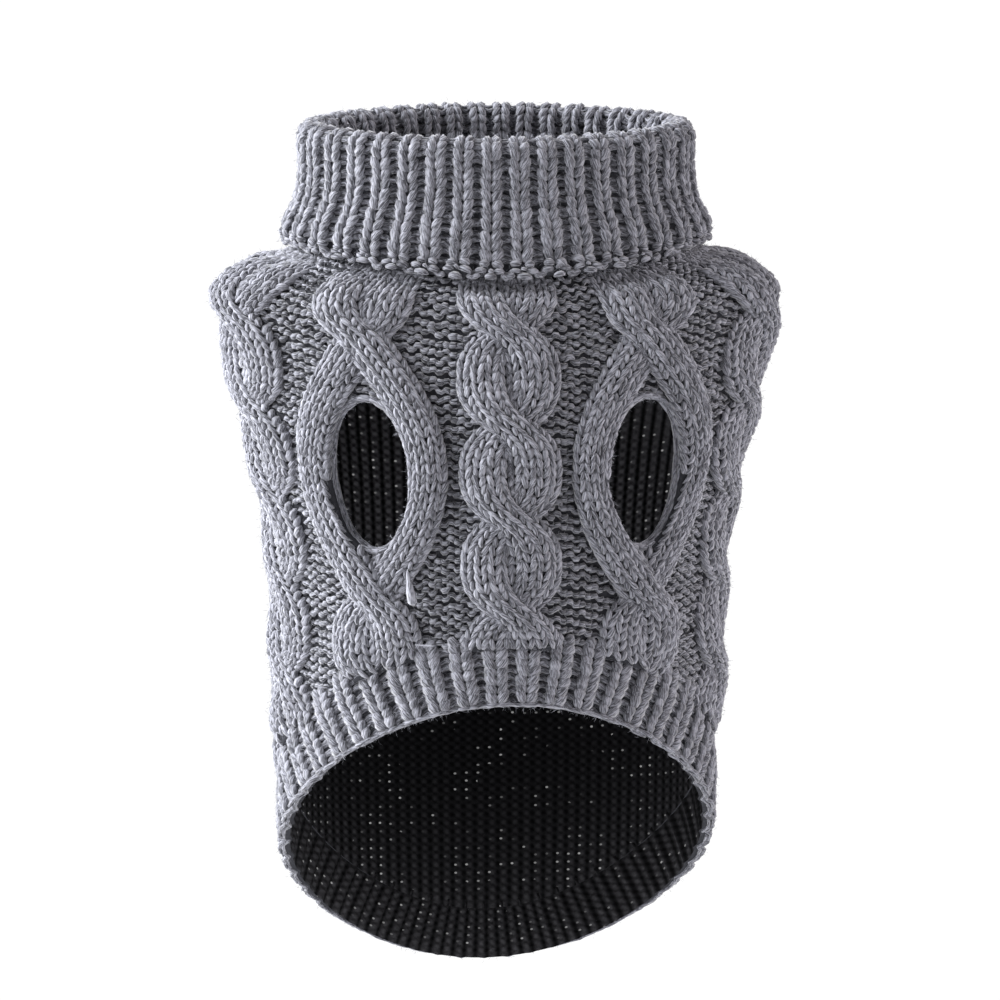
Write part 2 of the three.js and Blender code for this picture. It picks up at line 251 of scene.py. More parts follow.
@dataclass(frozen=True)
class CollarSize:
    """The collar: one tube of ribbing, its upper half folded down outside its lower half."""

    ribs: int = 36
    edge_middle: float = -8.75
    edge_dip: float = 3.75
    fold_z: float = 29.4
    fold_tilt: float = 2.8
    fold_height: float = 4
    stand_half_width: float = 57.2
    stand_half_depth: float = 31
    seam_gap: float = 0.3

    def edge(self, turn: Array) -> Array:
        """The z of the turned-down layer's edge."""
        return self.edge_middle - self.edge_dip * np.cos(2 * ROUND * turn)

    def fold(self, turn: Array) -> Array:
        """The z where both layers reach the fold."""
        return self.fold_z - self.fold_tilt * np.cos(ROUND * turn)


# Cables


@dataclass(frozen=True)
class Cable:
    """One cable: the turn of its middle, its first crossing's z, and whether it parts round a leg hole."""

    turn: float
    first_crossing: float = -28.5
    parted: bool = False


LEG_TURN = 0.106
RIGHT_CABLES = (
    Cable(0),
    Cable(LEG_TURN, first_crossing=-30.8, parted=True),
    Cable(0.209, first_crossing=-25.5),
    Cable(0.305, first_crossing=-25.5),
    Cable(0.402),
    Cable(0.5),
)


@dataclass(frozen=True)
class CableLayout:
    """Where the cables run and how their two strands wind. Widths are measured on the chest."""

    girth: float = 440
    swing: float = 7.9
    strand_half: float = 8.8
    crest: float = 4.2
    lift: float = 1.3
    spacing: float = 29.4
    sharpness: float = 0.2
    rise_from: float = 2
    rise_to: float = 9
    gathered: float = 0.4
    gather_reach: float = 9
    leg_length: float = 83.1
    leg_swing: float = 20
    leg_strand_half: float = 6.3

    def cables(self) -> list[Cable]:
        """All the cables: the right half's, and their mirrors on the left."""
        mirrored = [replace(cable, turn=-cable.turn) for cable in RIGHT_CABLES if 0 < cable.turn < 0.5]
        return [*RIGHT_CABLES, *mirrored]

    def strand(self, cable: Cable, side: int, z: Array) -> tuple[Array, Array, Array]:
        """Follows one strand of a cable.

        Args:
            cable: the cable.
            side: which of its two strands, 1 or -1.
            z: the levels asked.

        Returns:
            The strand's place off the cable's middle, its half width and its crest.
        """
        wound = cable.first_crossing - z
        parted = cable.parted & (wound > 0) & (wound < self.leg_length)
        rejoined = cable.parted & (wound >= self.leg_length)
        half_turns = np.where(rejoined, 1 + (wound - self.leg_length) / self.spacing, wound / self.spacing)
        phase = np.pi * np.where(parted, wound / self.leg_length, half_turns)
        swing = np.where(parted, self.leg_swing, self.swing)
        sharpness = np.where(parted, 0, self.sharpness)
        narrowing = np.where(parted, np.sin(phase) ** 2, 0) * (self.strand_half - self.leg_strand_half)
        place = side * swing * np.sin(phase + sharpness * np.sin(2 * phase))
        return place, self.strand_half - narrowing, self.crest + side * self.lift * np.cos(phase)

    def relief(self, turn: Array, z: Array, fade: Array) -> Array:
        """Height of the cables over the ground, where fade is the share of their height that they have there."""
        height = np.zeros(np.broadcast(turn, z).shape)
        for cable in self.cables():
            apart = turn - cable.turn
            offset = (apart - np.round(apart)) * self.girth
            for side in (1, -1):
                place, half, crest = self.strand(cable, side, z)
                across = np.minimum(np.abs((offset - place) / half), 1)
                height = np.maximum(height, crest * np.sqrt(1 - across**2))
        return height * fade


@dataclass(frozen=True)
class LegHole:
    """A leg hole: an oval between the parted strands of a cable."""

    z: float = -74.4
    half_height: float = 24
    half_width: float = 13.9

    def outline(self, angle: Array, grown: float = 0.0) -> tuple[Array, Array]:
        """Distances across and up from the hole's middle, round its edge, grown outward."""
        return (self.half_width + grown) * np.sin(angle), (self.half_height + grown) * np.cos(angle)

    def reach(self, across: Array, up: Array) -> Array:
        """How far out a place lies: less than 1 inside the hole, 1 on its edge."""
        return np.hypot(across / self.half_width, up / self.half_height)


# Cloths: what stitches are laid on


class Cloth(ABC):
    """A knitted face that turns a place across and along its wales into a point."""

    facing: int = 1
    across_unit: float = 4.4
    across_step: float = 0.01
    along_step: float = 0.2

    @abstractmethod
    def lay(self, across: Array, along: Array, lift: Array | float) -> Array:
        """Points on the face, lifted off it by that many millimetres."""

    def frame(self, across: Array, along: Array) -> tuple[Array, Array]:
        """The outward normals of the face, and how wide its wales are, as a share of their usual width."""
        side, ahead = self.across_step, self.along_step
        over = self.lay(across + side, along, 0.0) - self.lay(across - side, along, 0.0)
        up = self.lay(across, along + ahead, 0.0) - self.lay(across, along - ahead, 0.0)
        width = np.linalg.norm(np.cross(over, unit(up)), axis=-1) / (2 * side)
        return unit(self.facing * np.cross(over, up)), width / self.across_unit

    def rows(self, across: float, start: float, end: float, pitch: float) -> tuple[Array, Array, Array]:
        """Spaces stitches evenly along one wale.

        Args:
            across: the wale's place.
            start: where the wale starts, along it.
            end: where it ends.
            pitch: millimetres from row to row.

        Returns:
            The length at which each stitch starts, and a table of lengths with the places along that they are at.
        """
        along = np.linspace(start, end, 400)
        points = self.lay(np.full_like(along, across), along, 0.0)
        lengths = np.concatenate([[0], np.cumsum(np.linalg.norm(np.diff(points, axis=0), axis=1))])
        count = max(int(lengths[-1] / pitch), 1)
        return np.arange(count) * lengths[-1] / count, lengths, along


class Strand(Cloth):
    """One strand of a cable. Across it is -1 to 1, and along it is z."""

    across_unit = 8.8

    def __init__(self, body: BodyForm, cable: Cable, side: int) -> None:
        """Takes the body that carries the cable, the cable, and which of its two strands it is."""
        self.body, self.cable, self.side = body, cable, side

    def turn(self, across: Array, z: Array) -> Array:
        """The turn of a place on the strand."""
        place, half, _ = self.body.layout.strand(self.cable, self.side, z)
        return self.cable.turn + (place + across * half) / self.body.layout.girth

    def height(self, across: Array, z: Array) -> Array:
        """The strand's own height over the ground, whatever lies over it."""
        crest = self.body.layout.strand(self.cable, self.side, z)[2]
        fade = self.body.cable_fade(self.turn(across, z), z)
        return fade * crest * np.sqrt(1 - np.clip(across, -0.985, 0.985) ** 2)

    def lay(self, across: Array, along: Array, lift: Array | float) -> Array:
        """Points on the strand's rounded top."""
        return self.body.surface.at(self.turn(across, along), along, self.height(across, along) + lift)


class Ground(Cloth):
    """The purl cloth between the cables. Across it is the wale's number round the body, and along it is z."""

    def __init__(self, body: BodyForm, wales: int) -> None:
        """Takes the body and how many wales go round it."""
        self.body, self.wales = body, wales

    def lay(self, across: Array, along: Array, lift: Array | float) -> Array:
        """Points on the cloth between the cables."""
        return self.body.surface.at(across / self.wales, along, lift)


@dataclass
class RibProfile:
    """A rib across its width, from valley to valley: a knit wale with a purl valley beside it."""

    height: float = 2
    flat: float = 0.3
    valley: float = 0.5

    def at(self, ribs: Array) -> Array:
        """The height at a place counted in ribs, where whole numbers are valleys."""
        phase = np.abs(np.mod(ribs, 1.0) - 0.5)
        return self.height * (1 - smoothstep(phase, self.flat, self.valley))


class HemRibs(Cloth):
    """The hem's rib band on one panel. Across it is the rib's number, and along it is 0 at the body, 1 at the edge."""

    across_unit = 8.9
    along_step = 0.02
    start_share = 0.35

    def __init__(self, body: BodyForm, panel: Panel, outward: bool = True) -> None:
        """Takes the body, the panel, and whether this is the band's outer face."""
        self.body, self.panel, self.outward = body, panel, outward
        self.facing = -1 if outward else 1

    def place(self, across: Array, along: Array) -> tuple[Array, Array]:
        """The turn and z of a place on the band."""
        hem = self.body.hem
        half = SIDE_SEAM - self.body.slit / 2 / hem.girth
        edge_turn = self.panel.value + half * (2 * across / hem.ribs_per_panel - 1)
        top_turn = hem.band_top_turn(edge_turn)
        turn = top_turn + (edge_turn - top_turn) * along
        top_z, edge_z = hem.band_top(top_turn), hem.edge(edge_turn)
        return turn, top_z + (edge_z - top_z) * along

    def lay(self, across: Array, along: Array, lift: Array | float) -> Array:
        """Points on the ribs, or on the band's inner face, where a valley outside is a rib."""
        turn, z = self.place(across, along)
        if self.outward:
            risen = self.start_share + (1 - self.start_share) * smoothstep(along, -0.1, 0.3)
            return self.body.surface.at(turn, z, self.body.rib.at(across) * risen + lift)
        inner_rib = self.body.inner_rib_height * (1 - self.body.rib.at(across) / self.body.rib.height)
        return self.body.surface.at(turn, z, -(self.body.wall - self.body.inner_rib_height + inner_rib) - lift)


class CollarRibs(Cloth):
    """The collar's ribbing. Across it is the rib's number.

    Along it is 0 to 1 up the bore, 1 to 2 over the fold, and 2 to 3 down the outside to the edge.
    """

    facing = -1
    across_unit = 9.2
    along_step = 0.01
    stretched = 0.6

    def __init__(self, size: CollarSize, rib: RibProfile, rows: tuple[int, int, int] = (48, 24, 72)) -> None:
        """Lays out the tube's valleys as a surface."""
        self.size, self.rib = size, rib
        ellipse = EllipseTable()
        turns = ellipse.shares
        fold_z, edge_z = size.fold(turns), size.edge(turns)
        stand = ellipse.row(size.stand_half_width, size.stand_half_depth)
        levels = np.linspace(COLLAR_OVER[-1].z, COLLAR_OVER[0].z + 4, 200)
        over_rows = np.stack([ellipse.row(a, b) for a, b in zip(*section_sizes(COLLAR_OVER, levels))])

        def over(z: Array) -> Array:
            """Points of the turned-down layer at one z for each turn."""
            row = np.interp(z, levels, np.arange(len(levels)))
            k = np.minimum(row.astype(int), len(levels) - 2)
            i, t = np.arange(len(turns)), (row - k)[:, None]
            flat = over_rows[k, i] * (1 - t) + over_rows[k + 1, i] * t
            return np.concatenate([flat, z[:, None]], axis=1)

        grid = []
        for share in np.linspace(0, 1, rows[0], endpoint=False):
            z = size.seam_gap + (fold_z - size.seam_gap) * share
            grid.append(np.concatenate([stand, z[:, None]], axis=1))
        bore = np.concatenate([stand, fold_z[:, None]], axis=1)
        outer = over(fold_z)
        up = np.array([0, 0, 1.0])
        for share in np.linspace(0, 1, rows[1], endpoint=False):
            angle = np.pi * share
            grid.append(bore + (outer - bore) * (1 - np.cos(angle)) / 2 + up * size.fold_height * np.sin(angle))
        for share in np.linspace(0, 1, rows[2] + 1):
            grid.append(over(fold_z + (edge_z - fold_z) * share))
        along = np.concatenate(
            [part + np.linspace(0, 1, count, endpoint=False) for part, count in enumerate(rows)] + [[3.0]]
        )
        self.surface = Surface(np.stack(grid), along, -1)

    def lay(self, across: Array, along: Array, lift: Array | float) -> Array:
        """Points on the ribs, whose valleys are stretched shallow over the fold."""
        height = self.rib.at(across)
        stretched = self.stretched * np.sin(np.pi * np.clip(along - 1, 0, 1))
        return self.surface.at(across / self.size.ribs, along, height + (self.rib.height - height) * stretched + lift)


@dataclass
class BodyForm:
    """The body's form with its edges, cables and leg holes, shared by all that is knitted on it."""

    hem: Hem = field(default_factory=Hem)
    layout: CableLayout = field(default_factory=CableLayout)
    collar: CollarSize = field(default_factory=CollarSize)
    leg_hole: LegHole = field(default_factory=LegHole)
    rib: RibProfile = field(default_factory=RibProfile)
    wall: float = 3
    slit: float = 0.04
    inner_rib_height: float = 0.9

    def __post_init__(self) -> None:
        """Works out the ground surface."""
        self.surface = body_surface()

    def cable_fade(self, turn: Array, z: Array) -> Array:
        """The share of their height that cables have: 0 under the collar, and less where the hem gathers them."""
        layout = self.layout
        free = smoothstep(z - self.hem.band_top(turn), 0, layout.gather_reach)
        clear = smoothstep(self.collar.edge(turn) - z, layout.rise_from, layout.rise_to)
        return clear * (1 - layout.gathered * (1 - free))

    def relief(self, turn: Array, z: Array) -> Array:
        """Height of the cables over the ground."""
        return self.layout.relief(turn, z, self.cable_fade(turn, z))

    def hole_reach(self, turn: Array, z: Array) -> Array:
        """How far out a place lies from the nearer leg hole: less than 1 inside it."""
        apart = np.abs(turn - np.round(turn)) - LEG_TURN
        return self.leg_hole.reach(apart * self.layout.girth, z - self.leg_hole.z)


# Yarn


@dataclass(frozen=True)
class YarnLie:
    """How one length of yarn lies in a stitch, as stations from end to end."""

    half_width: float
    half_height: float
    crown: float
    sink: float
    shares: tuple[float, ...] = (0.0, 0.1, 0.36, 0.66, 0.9, 1.0)
    swell: tuple[float, ...] = (0.0, 0.7, 1.0, 0.98, 0.66, 0.0)

    def lift(self) -> Array:
        """The depth of the yarn's middle at each station: both ends dive into the cloth."""
        t = np.array(self.shares)
        return -self.sink - self.crown * np.abs(2 * t - 1) ** 2.2


class YarnBatch:
    """Lengths of yarn as closed spindles, joined in one mesh."""

    narrowest = 0.62
    widest = 1.35
    twist = 0.1

    def __init__(self, name: str, seed: int, sides: int = 5) -> None:
        """Names the piece, seeds its unevenness, and sets how many sides a yarn has."""
        self.name, self.sides = name, sides
        self.random = np.random.default_rng(seed)
        self.points: list[Array] = []
        self.fibre: list[Array] = []
        self.tone: list[Array] = []
        self.quads: list[Array] = []
        self.triangles: list[Array] = []
        self.roots: list[Array] = []
        self.outward: list[Array] = []
        self.size = 0

    def add(self, cloth: Cloth, across: Array, along: Array, lie: YarnLie, tone: Array, lift: float = 0) -> None:
        """Lays one yarn for each row of places.

        Args:
            cloth: the face that the yarns lie on.
            across: the places across, one row per yarn and one column per station.
            along: the places along, likewise.
            lie: the yarn's sizes at each station.
            tone: how pale each yarn is, from 0 to 1.
            lift: how much higher than its lie the yarn is.
        """
        count, stations = across.shape
        if count == 0:
            return
        depth = np.broadcast_to(lie.lift() + lift, across.shape) + self.random.normal(0, 0.13, (count, 1))
        centres = cloth.lay(across, along, depth)
        normals, room = cloth.frame(across, along)
        run = unit(np.gradient(centres, axis=1))
        side = unit(np.cross(run, normals))
        top = np.cross(side, run)
        room = np.clip(room[:, stations // 2], self.narrowest, self.widest)
        width = lie.half_width * (room * self.random.normal(1, 0.09, count))[:, None, None, None]
        angle = ROUND * np.arange(self.sides) / self.sides + np.pi / 2
        swell = np.array(lie.swell[1:-1])[None, :, None, None]
        ring = (
            side[:, 1:-1, None] * width * np.cos(angle)[None, None, :, None]
            + top[:, 1:-1, None] * lie.half_height * np.sin(angle)[None, None, :, None]
        )
        rings = centres[:, 1:-1, None] + ring * swell
        points = np.concatenate([centres[:, :1], rings.reshape(count, -1, 3), centres[:, -1:]], axis=1)
        self._append_fibre(centres, width[:, 0, 0, 0], angle, points.shape[1])
        self.tone.append(np.repeat(tone, points.shape[1]))
        self._append_faces(count, stations - 2, points.shape[1])
        self.points.append(points.reshape(-1, 3))
        outer = np.sin(angle) > 0.2
        self.roots.append(rings[:, :, outer].reshape(-1, 3))
        self.outward.append(unit(ring)[:, :, outer].reshape(-1, 3))
        self.size += count * points.shape[1]

    def _append_fibre(self, centres: Array, width: Array, angle: Array, each: int) -> None:
        """Adds the fibre coordinates: millimetres along the yarn, and two round it, shifted for each yarn."""
        count = len(centres)
        steps = np.linalg.norm(np.diff(centres, axis=1), axis=2)
        length = np.concatenate([np.zeros((count, 1)), np.cumsum(steps, axis=1)], axis=1)
        twist = angle[None, None, :] + self.twist * length[:, 1:-1, None]
        fibre = np.zeros((count, each, 3))
        fibre[:, 1:-1, 0] = np.repeat(length[:, 1:-1], self.sides, axis=1)
        fibre[:, 1:-1, 1] = (width[:, None, None] * np.cos(twist)).reshape(count, -1)
        fibre[:, 1:-1, 2] = (width[:, None, None] * np.sin(twist)).reshape(count, -1)
        fibre[:, -1, 0] = length[:, -1]
        fibre += self.random.uniform(0, 300, (count, 1, 3))
        self.fibre.append(fibre.reshape(-1, 3))

    def _append_faces(self, count: int, rings: int, each: int) -> None:
        """Adds the faces of each spindle: two fans of triangles with quads between."""
        k = np.arange(self.sides)
        after = (k + 1) % self.sides
        last = 1 + (rings - 1) * self.sides
        fan = np.concatenate(
            [
                np.stack([np.zeros_like(k), 1 + after, 1 + k], 1),
                np.stack([np.full_like(k, each - 1), last + k, last + after], 1),
            ]
        )
        ring = 1 + np.arange(rings - 1)[:, None] * self.sides
        quad = np.stack([ring + k, ring + after, ring + after + self.sides, ring + k + self.sides], 2)
        start = self.size + np.arange(count)[:, None, None] * each
        self.triangles.append((start + fan).reshape(-1, 3))
        self.quads.append((start + quad.reshape(-1, 4)).reshape(-1, 4))

    def build(self, material: bpy.types.Material) -> bpy.types.Object:
        """Makes the joined mesh, dressed in one yarn."""
        mesh = mesh_from_arrays(
            self.name, np.concatenate(self.points), np.concatenate(self.quads), np.concatenate(self.triangles)
        )
        return dressed(mesh, np.concatenate(self.fibre), np.concatenate(self.tone), material)


@dataclass(frozen=True)
class Fuzz:
    """Loose fibres that stand off the yarns, each a bent sliver of two triangles."""

    half_width: float = 0.045
    shortest: float = 0.9
    longest: float = 2.9
    unruly: float = 0.9

    def build(
        self, name: str, batches: list[YarnBatch], count: int, material: bpy.types.Material
    ) -> bpy.types.Object:
        """Grows fibres on some yarns.

        Args:
            name: the piece's name.
            batches: the yarns.
            count: how many fibres there are.
            material: their finish.

        Returns:
            The piece, one joined mesh.
        """
        roots = np.concatenate([part for batch in batches for part in batch.roots])
        outward = np.concatenate([part for batch in batches for part in batch.outward])
        random = np.random.default_rng(len(roots))
        chosen = random.integers(0, len(roots), count)
        way = unit(outward[chosen] + random.normal(0, self.unruly, (count, 3)))
        flat = unit(np.cross(way, random.normal(0, 1, (count, 3))))
        bend = np.cross(way, flat) * random.uniform(0.2, 0.8, (count, 1))
        length = self.shortest + (self.longest - self.shortest) * random.uniform(0, 1, (count, 1)) ** 2
        root = roots[chosen]
        middle = root + way * length / 2
        tip = middle + unit(way + bend) * length / 2
        points = np.stack([root, middle - flat * self.half_width, middle + flat * self.half_width, tip], axis=1)
        triangles = (np.arange(count)[:, None, None] * 4 + np.array([(0, 1, 2), (1, 3, 2)])).reshape(-1, 3)
        mesh = mesh_from_arrays(name, points.reshape(-1, 3), np.zeros((0, 4), int), triangles)
        fibre = np.repeat(random.uniform(0, 300, (count, 3)), 4, axis=0)
        return dressed(mesh, fibre, np.repeat(random.uniform(0, 1, count), 4), material)


def dressed(mesh: bpy.types.Mesh, fibre: Array, tone: Array, material: bpy.types.Material) -> bpy.types.Object:
    """Makes an object of a yarn mesh, with its fibre coordinates, its tones and its finish."""
    store(mesh, "fibre", fibre)
    store(mesh, "tone", tone)
    mesh.materials.append(material)
    piece = bpy.data.objects.new(mesh.name, mesh)
    bpy.context.collection.objects.link(piece)
    return piece


def mesh_from_arrays(name: str, points: Array, quads: Array, triangles: Array) -> bpy.types.Mesh:
    """Makes a smooth mesh from arrays.

    Args:
        name: the mesh's name.
        points: the vertices, in millimetres.
        quads: four vertex numbers a face.
        triangles: three vertex numbers a face.

    Returns:
        The mesh, in metres.
    """
    mesh = bpy.data.meshes.new(name)
    corners = np.concatenate([quads.ravel(), triangles.ravel()])
    starts = np.concatenate([np.arange(len(quads)) * 4, len(quads) * 4 + np.arange(len(triangles)) * 3])
    mesh.vertices.add(len(points))
    mesh.loops.add(len(corners))
    mesh.polygons.add(len(starts))
    mesh.vertices.foreach_set("co", (points * MM).astype(np.float32).ravel())
    mesh.loops.foreach_set("vertex_index", corners.astype(np.int32))
    mesh.polygons.foreach_set("loop_start", starts.astype(np.int32))
    mesh.update(calc_edges=True)
    mesh.shade_smooth()
    return mesh


def store(mesh: bpy.types.Mesh, name: str, values: Array) -> None:
    """Keeps a number or a vector for each vertex, for the materials."""
    if values.ndim == 2:
        mesh.attributes.new(name, "FLOAT_VECTOR", "POINT").data.foreach_set("vector", values.astype(np.float32).ravel())
    else:
        mesh.attributes.new(name, "FLOAT", "POINT").data.foreach_set("value", values.astype(np.float32))


@dataclass(frozen=True)
class KnitWale:
    """A column of knit stitches, each a V of two legs. Distances across are in the cloth's own units."""

    lie: YarnLie
    pitch: float
    reach: float
    inner: float
    outer: float

    def knit(
        self, batch: YarnBatch, cloth: Cloth, across: float, span: tuple[float, float], keep=None, down: bool = False
    ) -> None:
        """Knits one wale.

        Args:
            batch: what the yarns are added to.
            cloth: the face that they lie on.
            across: the wale's middle.
            span: where the wale starts and ends, along it, from its lowest stitch.
            keep: tells from places across and along which stitches show, all where it is None.
            down: whether the stitches point the other way.
        """
        starts, lengths, along = cloth.rows(across, *span, self.pitch)
        t = np.array(self.lie.shares)[None, :]
        starts = starts[:, None] + batch.random.normal(0, 0.16, (len(starts), 1))
        for side in (-1, 1):
            length = self.pitch * self.reach * batch.random.normal(1, 0.07, starts.shape)
            at = np.interp(starts + t * length, lengths, along)
            open_out = 1 - t if down else t
            apart = self.inner + (self.outer - self.inner) * open_out**0.85
            place = across + side * apart * batch.random.normal(1, 0.07, starts.shape)
            shown = np.ones(len(starts), bool) if keep is None else keep(place, at)
            tone = batch.random.uniform(0, 1, len(starts))
            batch.add(cloth, place[shown], at[shown], self.lie, tone[shown])


@dataclass(frozen=True)
class PurlWale:
    """A column of purl stitches: over each row an arch, and under it a cup between this wale and the next."""

    lie: YarnLie
    pitch: float
    half_width: float
    bow: float
    cups: bool = True
    palest: float = 1.0

    def knit(self, batch: YarnBatch, cloth: Cloth, across: float, span: tuple[float, float], keep=None) -> None:
        """Knits one wale, as KnitWale does."""
        starts, lengths, along = cloth.rows(across, *span, self.pitch)
        t = np.array(self.lie.shares)[None, :]
        starts = starts[:, None]
        for cup in (False, True) if self.cups else (False,):
            uneven, tilt = batch.random.normal(0, 0.2, starts.shape), batch.random.normal(0, 0.3, starts.shape)
            arch = self.bow * (1 - (2 * t - 1) ** 2) * (1 + uneven)
            middle = across + (0.5 if cup else 0)
            lift = self.pitch / 2 - arch if cup else arch
            at = np.interp(starts + uneven + lift + (2 * t - 1) * tilt, lengths, along)
            place = middle + (2 * t - 1) * self.half_width * (1 + uneven / 3)
            shown = np.ones(len(starts), bool) if keep is None else keep(place, at)
            tone = batch.random.uniform(0, self.palest, len(starts))
            batch.add(cloth, place[shown], at[shown], self.lie, tone[shown])


# Thin cloths under the stitches


@dataclass(frozen=True)
class ClothPiece:
    """Says what a thin cloth is: its node, its finish and the cut that it was knitted to."""

    node: str
    slot: str
    flat: tuple[float, float]
    area: float | None = None


def thin_cloth(
    name: str, outer: Array, inner: Array, keep: Array, closed: bool, weave: Array
) -> tuple[bpy.types.Object, Array]:
    """Makes a closed thin cloth from two grids that match.

    Args:
        name: the piece's name.
        outer: rows of points of the outer face, each running to the viewer's right, the top row first.
        inner: the inner face's points.
        keep: which cells of the grid are cloth.
        closed: whether the last column joins the first.
        weave: the wale and row number of each point, and how pale its ribs are inside.

    Returns:
        The object, and its count of outer faces, inner faces and edge faces.
    """
    rows, columns = outer.shape[:2]
    number = np.arange(rows * columns).reshape(rows, columns)
    right = np.roll(number, -1, 1) if closed else number[:, 1:]
    left = number if closed else number[:, :-1]
    face = np.stack([left[:-1], left[1:], right[1:], right[:-1]], axis=-1)
    front = face[keep]
    back = front[:, ::-1] + number.size
    rims = []
    for side, (row, column) in enumerate(((0, -1), (1, 0), (0, 1), (-1, 0))):
        beyond = np.zeros_like(keep)
        source = np.roll(keep, (-row, -column), (0, 1))
        beyond[:] = source
        if row:
            beyond[-1 if row > 0 else 0] = False
        elif not closed:
            beyond[:, -1 if column > 0 else 0] = False
        edge = face[keep & ~beyond]
        a, b = edge[:, side], edge[:, (side + 1) % 4]
        rims.append(np.stack([b, a, a + number.size, b + number.size], 1))
    rim = np.concatenate(rims)
    points = np.concatenate([outer.reshape(-1, 3), inner.reshape(-1, 3)])
    faces = np.concatenate([front, back, rim])
    used, faces = np.unique(faces, return_inverse=True)
    mesh = mesh_from_arrays(name, points[used], faces.reshape(-1, 4), np.zeros((0, 3), int))
    store(mesh, "weave", np.concatenate([weave.reshape(-1, 3)] * 2)[used])
    piece = bpy.data.objects.new(name, mesh)
    bpy.context.collection.objects.link(piece)
    return piece, np.array([len(front), len(back), len(rim)])


def dress_cloth(piece: bpy.types.Object, counts: Array, outer: bpy.types.Material, inner: bpy.types.Material) -> None:
    """Gives a thin cloth one finish outside and at its edges, and another inside."""
    piece.data.materials.append(outer)
    piece.data.materials.append(inner)
    index = np.repeat([0, 1, 0], counts).astype(np.int32)
    piece.data.polygons.foreach_set("material_index", index)


# Finishes


def new_node(tree: bpy.types.NodeTree, kind: str, **values: object) -> bpy.types.Node:
    """Adds a node and sets its inputs by name, or its own settings where it has no such input."""
    node = tree.nodes.new(kind)
    for name, value in values.items():
        socket = name.replace("_", " ")
        if socket in node.inputs:
            node.inputs[socket].default_value = value
        else:
            setattr(node, name, value)
    return node


def heather_group() -> bpy.types.NodeTree:
    """Fibres of pale and dark wool that run along the yarn, read from each yarn's own coordinates.

    Returns:
        The group, with the fibres' colour and height.
    """
    tree = bpy.data.node_groups.new("heather fibres", "ShaderNodeTree")
    for name, kind in (("Dark", "NodeSocketColor"), ("Pale", "NodeSocketColor"), ("Tone", "NodeSocketFloat")):
        tree.interface.new_socket(name, in_out="INPUT", socket_type=kind)
    tree.interface.new_socket("Color", in_out="OUTPUT", socket_type="NodeSocketColor")
    tree.interface.new_socket("Height", in_out="OUTPUT", socket_type="NodeSocketFloat")
    given, out = tree.nodes.new("NodeGroupInput"), tree.nodes.new("NodeGroupOutput")
    fibre = new_node(tree, "ShaderNodeAttribute", attribute_name="fibre")
    tone = new_node(tree, "ShaderNodeAttribute", attribute_name="tone")
    stretch = new_node(tree, "ShaderNodeVectorMath", operation="MULTIPLY")
    stretch.inputs[1].default_value = (0.42, 2.8, 2.8)
    streaks = new_node(tree, "ShaderNodeTexNoise", Scale=1.0, Detail=2.0, Roughness=0.5)
    spread = new_node(tree, "ShaderNodeMapRange", From_Min=0.4, From_Max=0.63)
    shade = new_node(tree, "ShaderNodeMath", operation="MULTIPLY_ADD")
    shade.inputs[2].default_value = 0.0
    around = new_node(tree, "ShaderNodeMath", operation="SUBTRACT")
    around.inputs[1].default_value = 0.5
    total = new_node(tree, "ShaderNodeMath", operation="ADD", use_clamp=True)
    colour = new_node(tree, "ShaderNodeMix", data_type="RGBA")
    link = tree.links.new
    link(fibre.outputs["Vector"], stretch.inputs[0])
    link(stretch.outputs[0], streaks.inputs["Vector"])
    link(streaks.outputs["Fac"], spread.inputs["Value"])
    link(tone.outputs["Fac"], around.inputs[0])
    link(around.outputs[0], shade.inputs[0])
    link(given.outputs["Tone"], shade.inputs[1])
    link(spread.outputs["Result"], total.inputs[0])
    link(shade.outputs[0], total.inputs[1])
    link(total.outputs[0], colour.inputs["Factor"])
    link(given.outputs["Dark"], colour.inputs["A"])
    link(given.outputs["Pale"], colour.inputs["B"])
    link(colour.outputs["Result"], out.inputs["Color"])
    link(streaks.outputs["Fac"], out.inputs["Height"])
    return tree


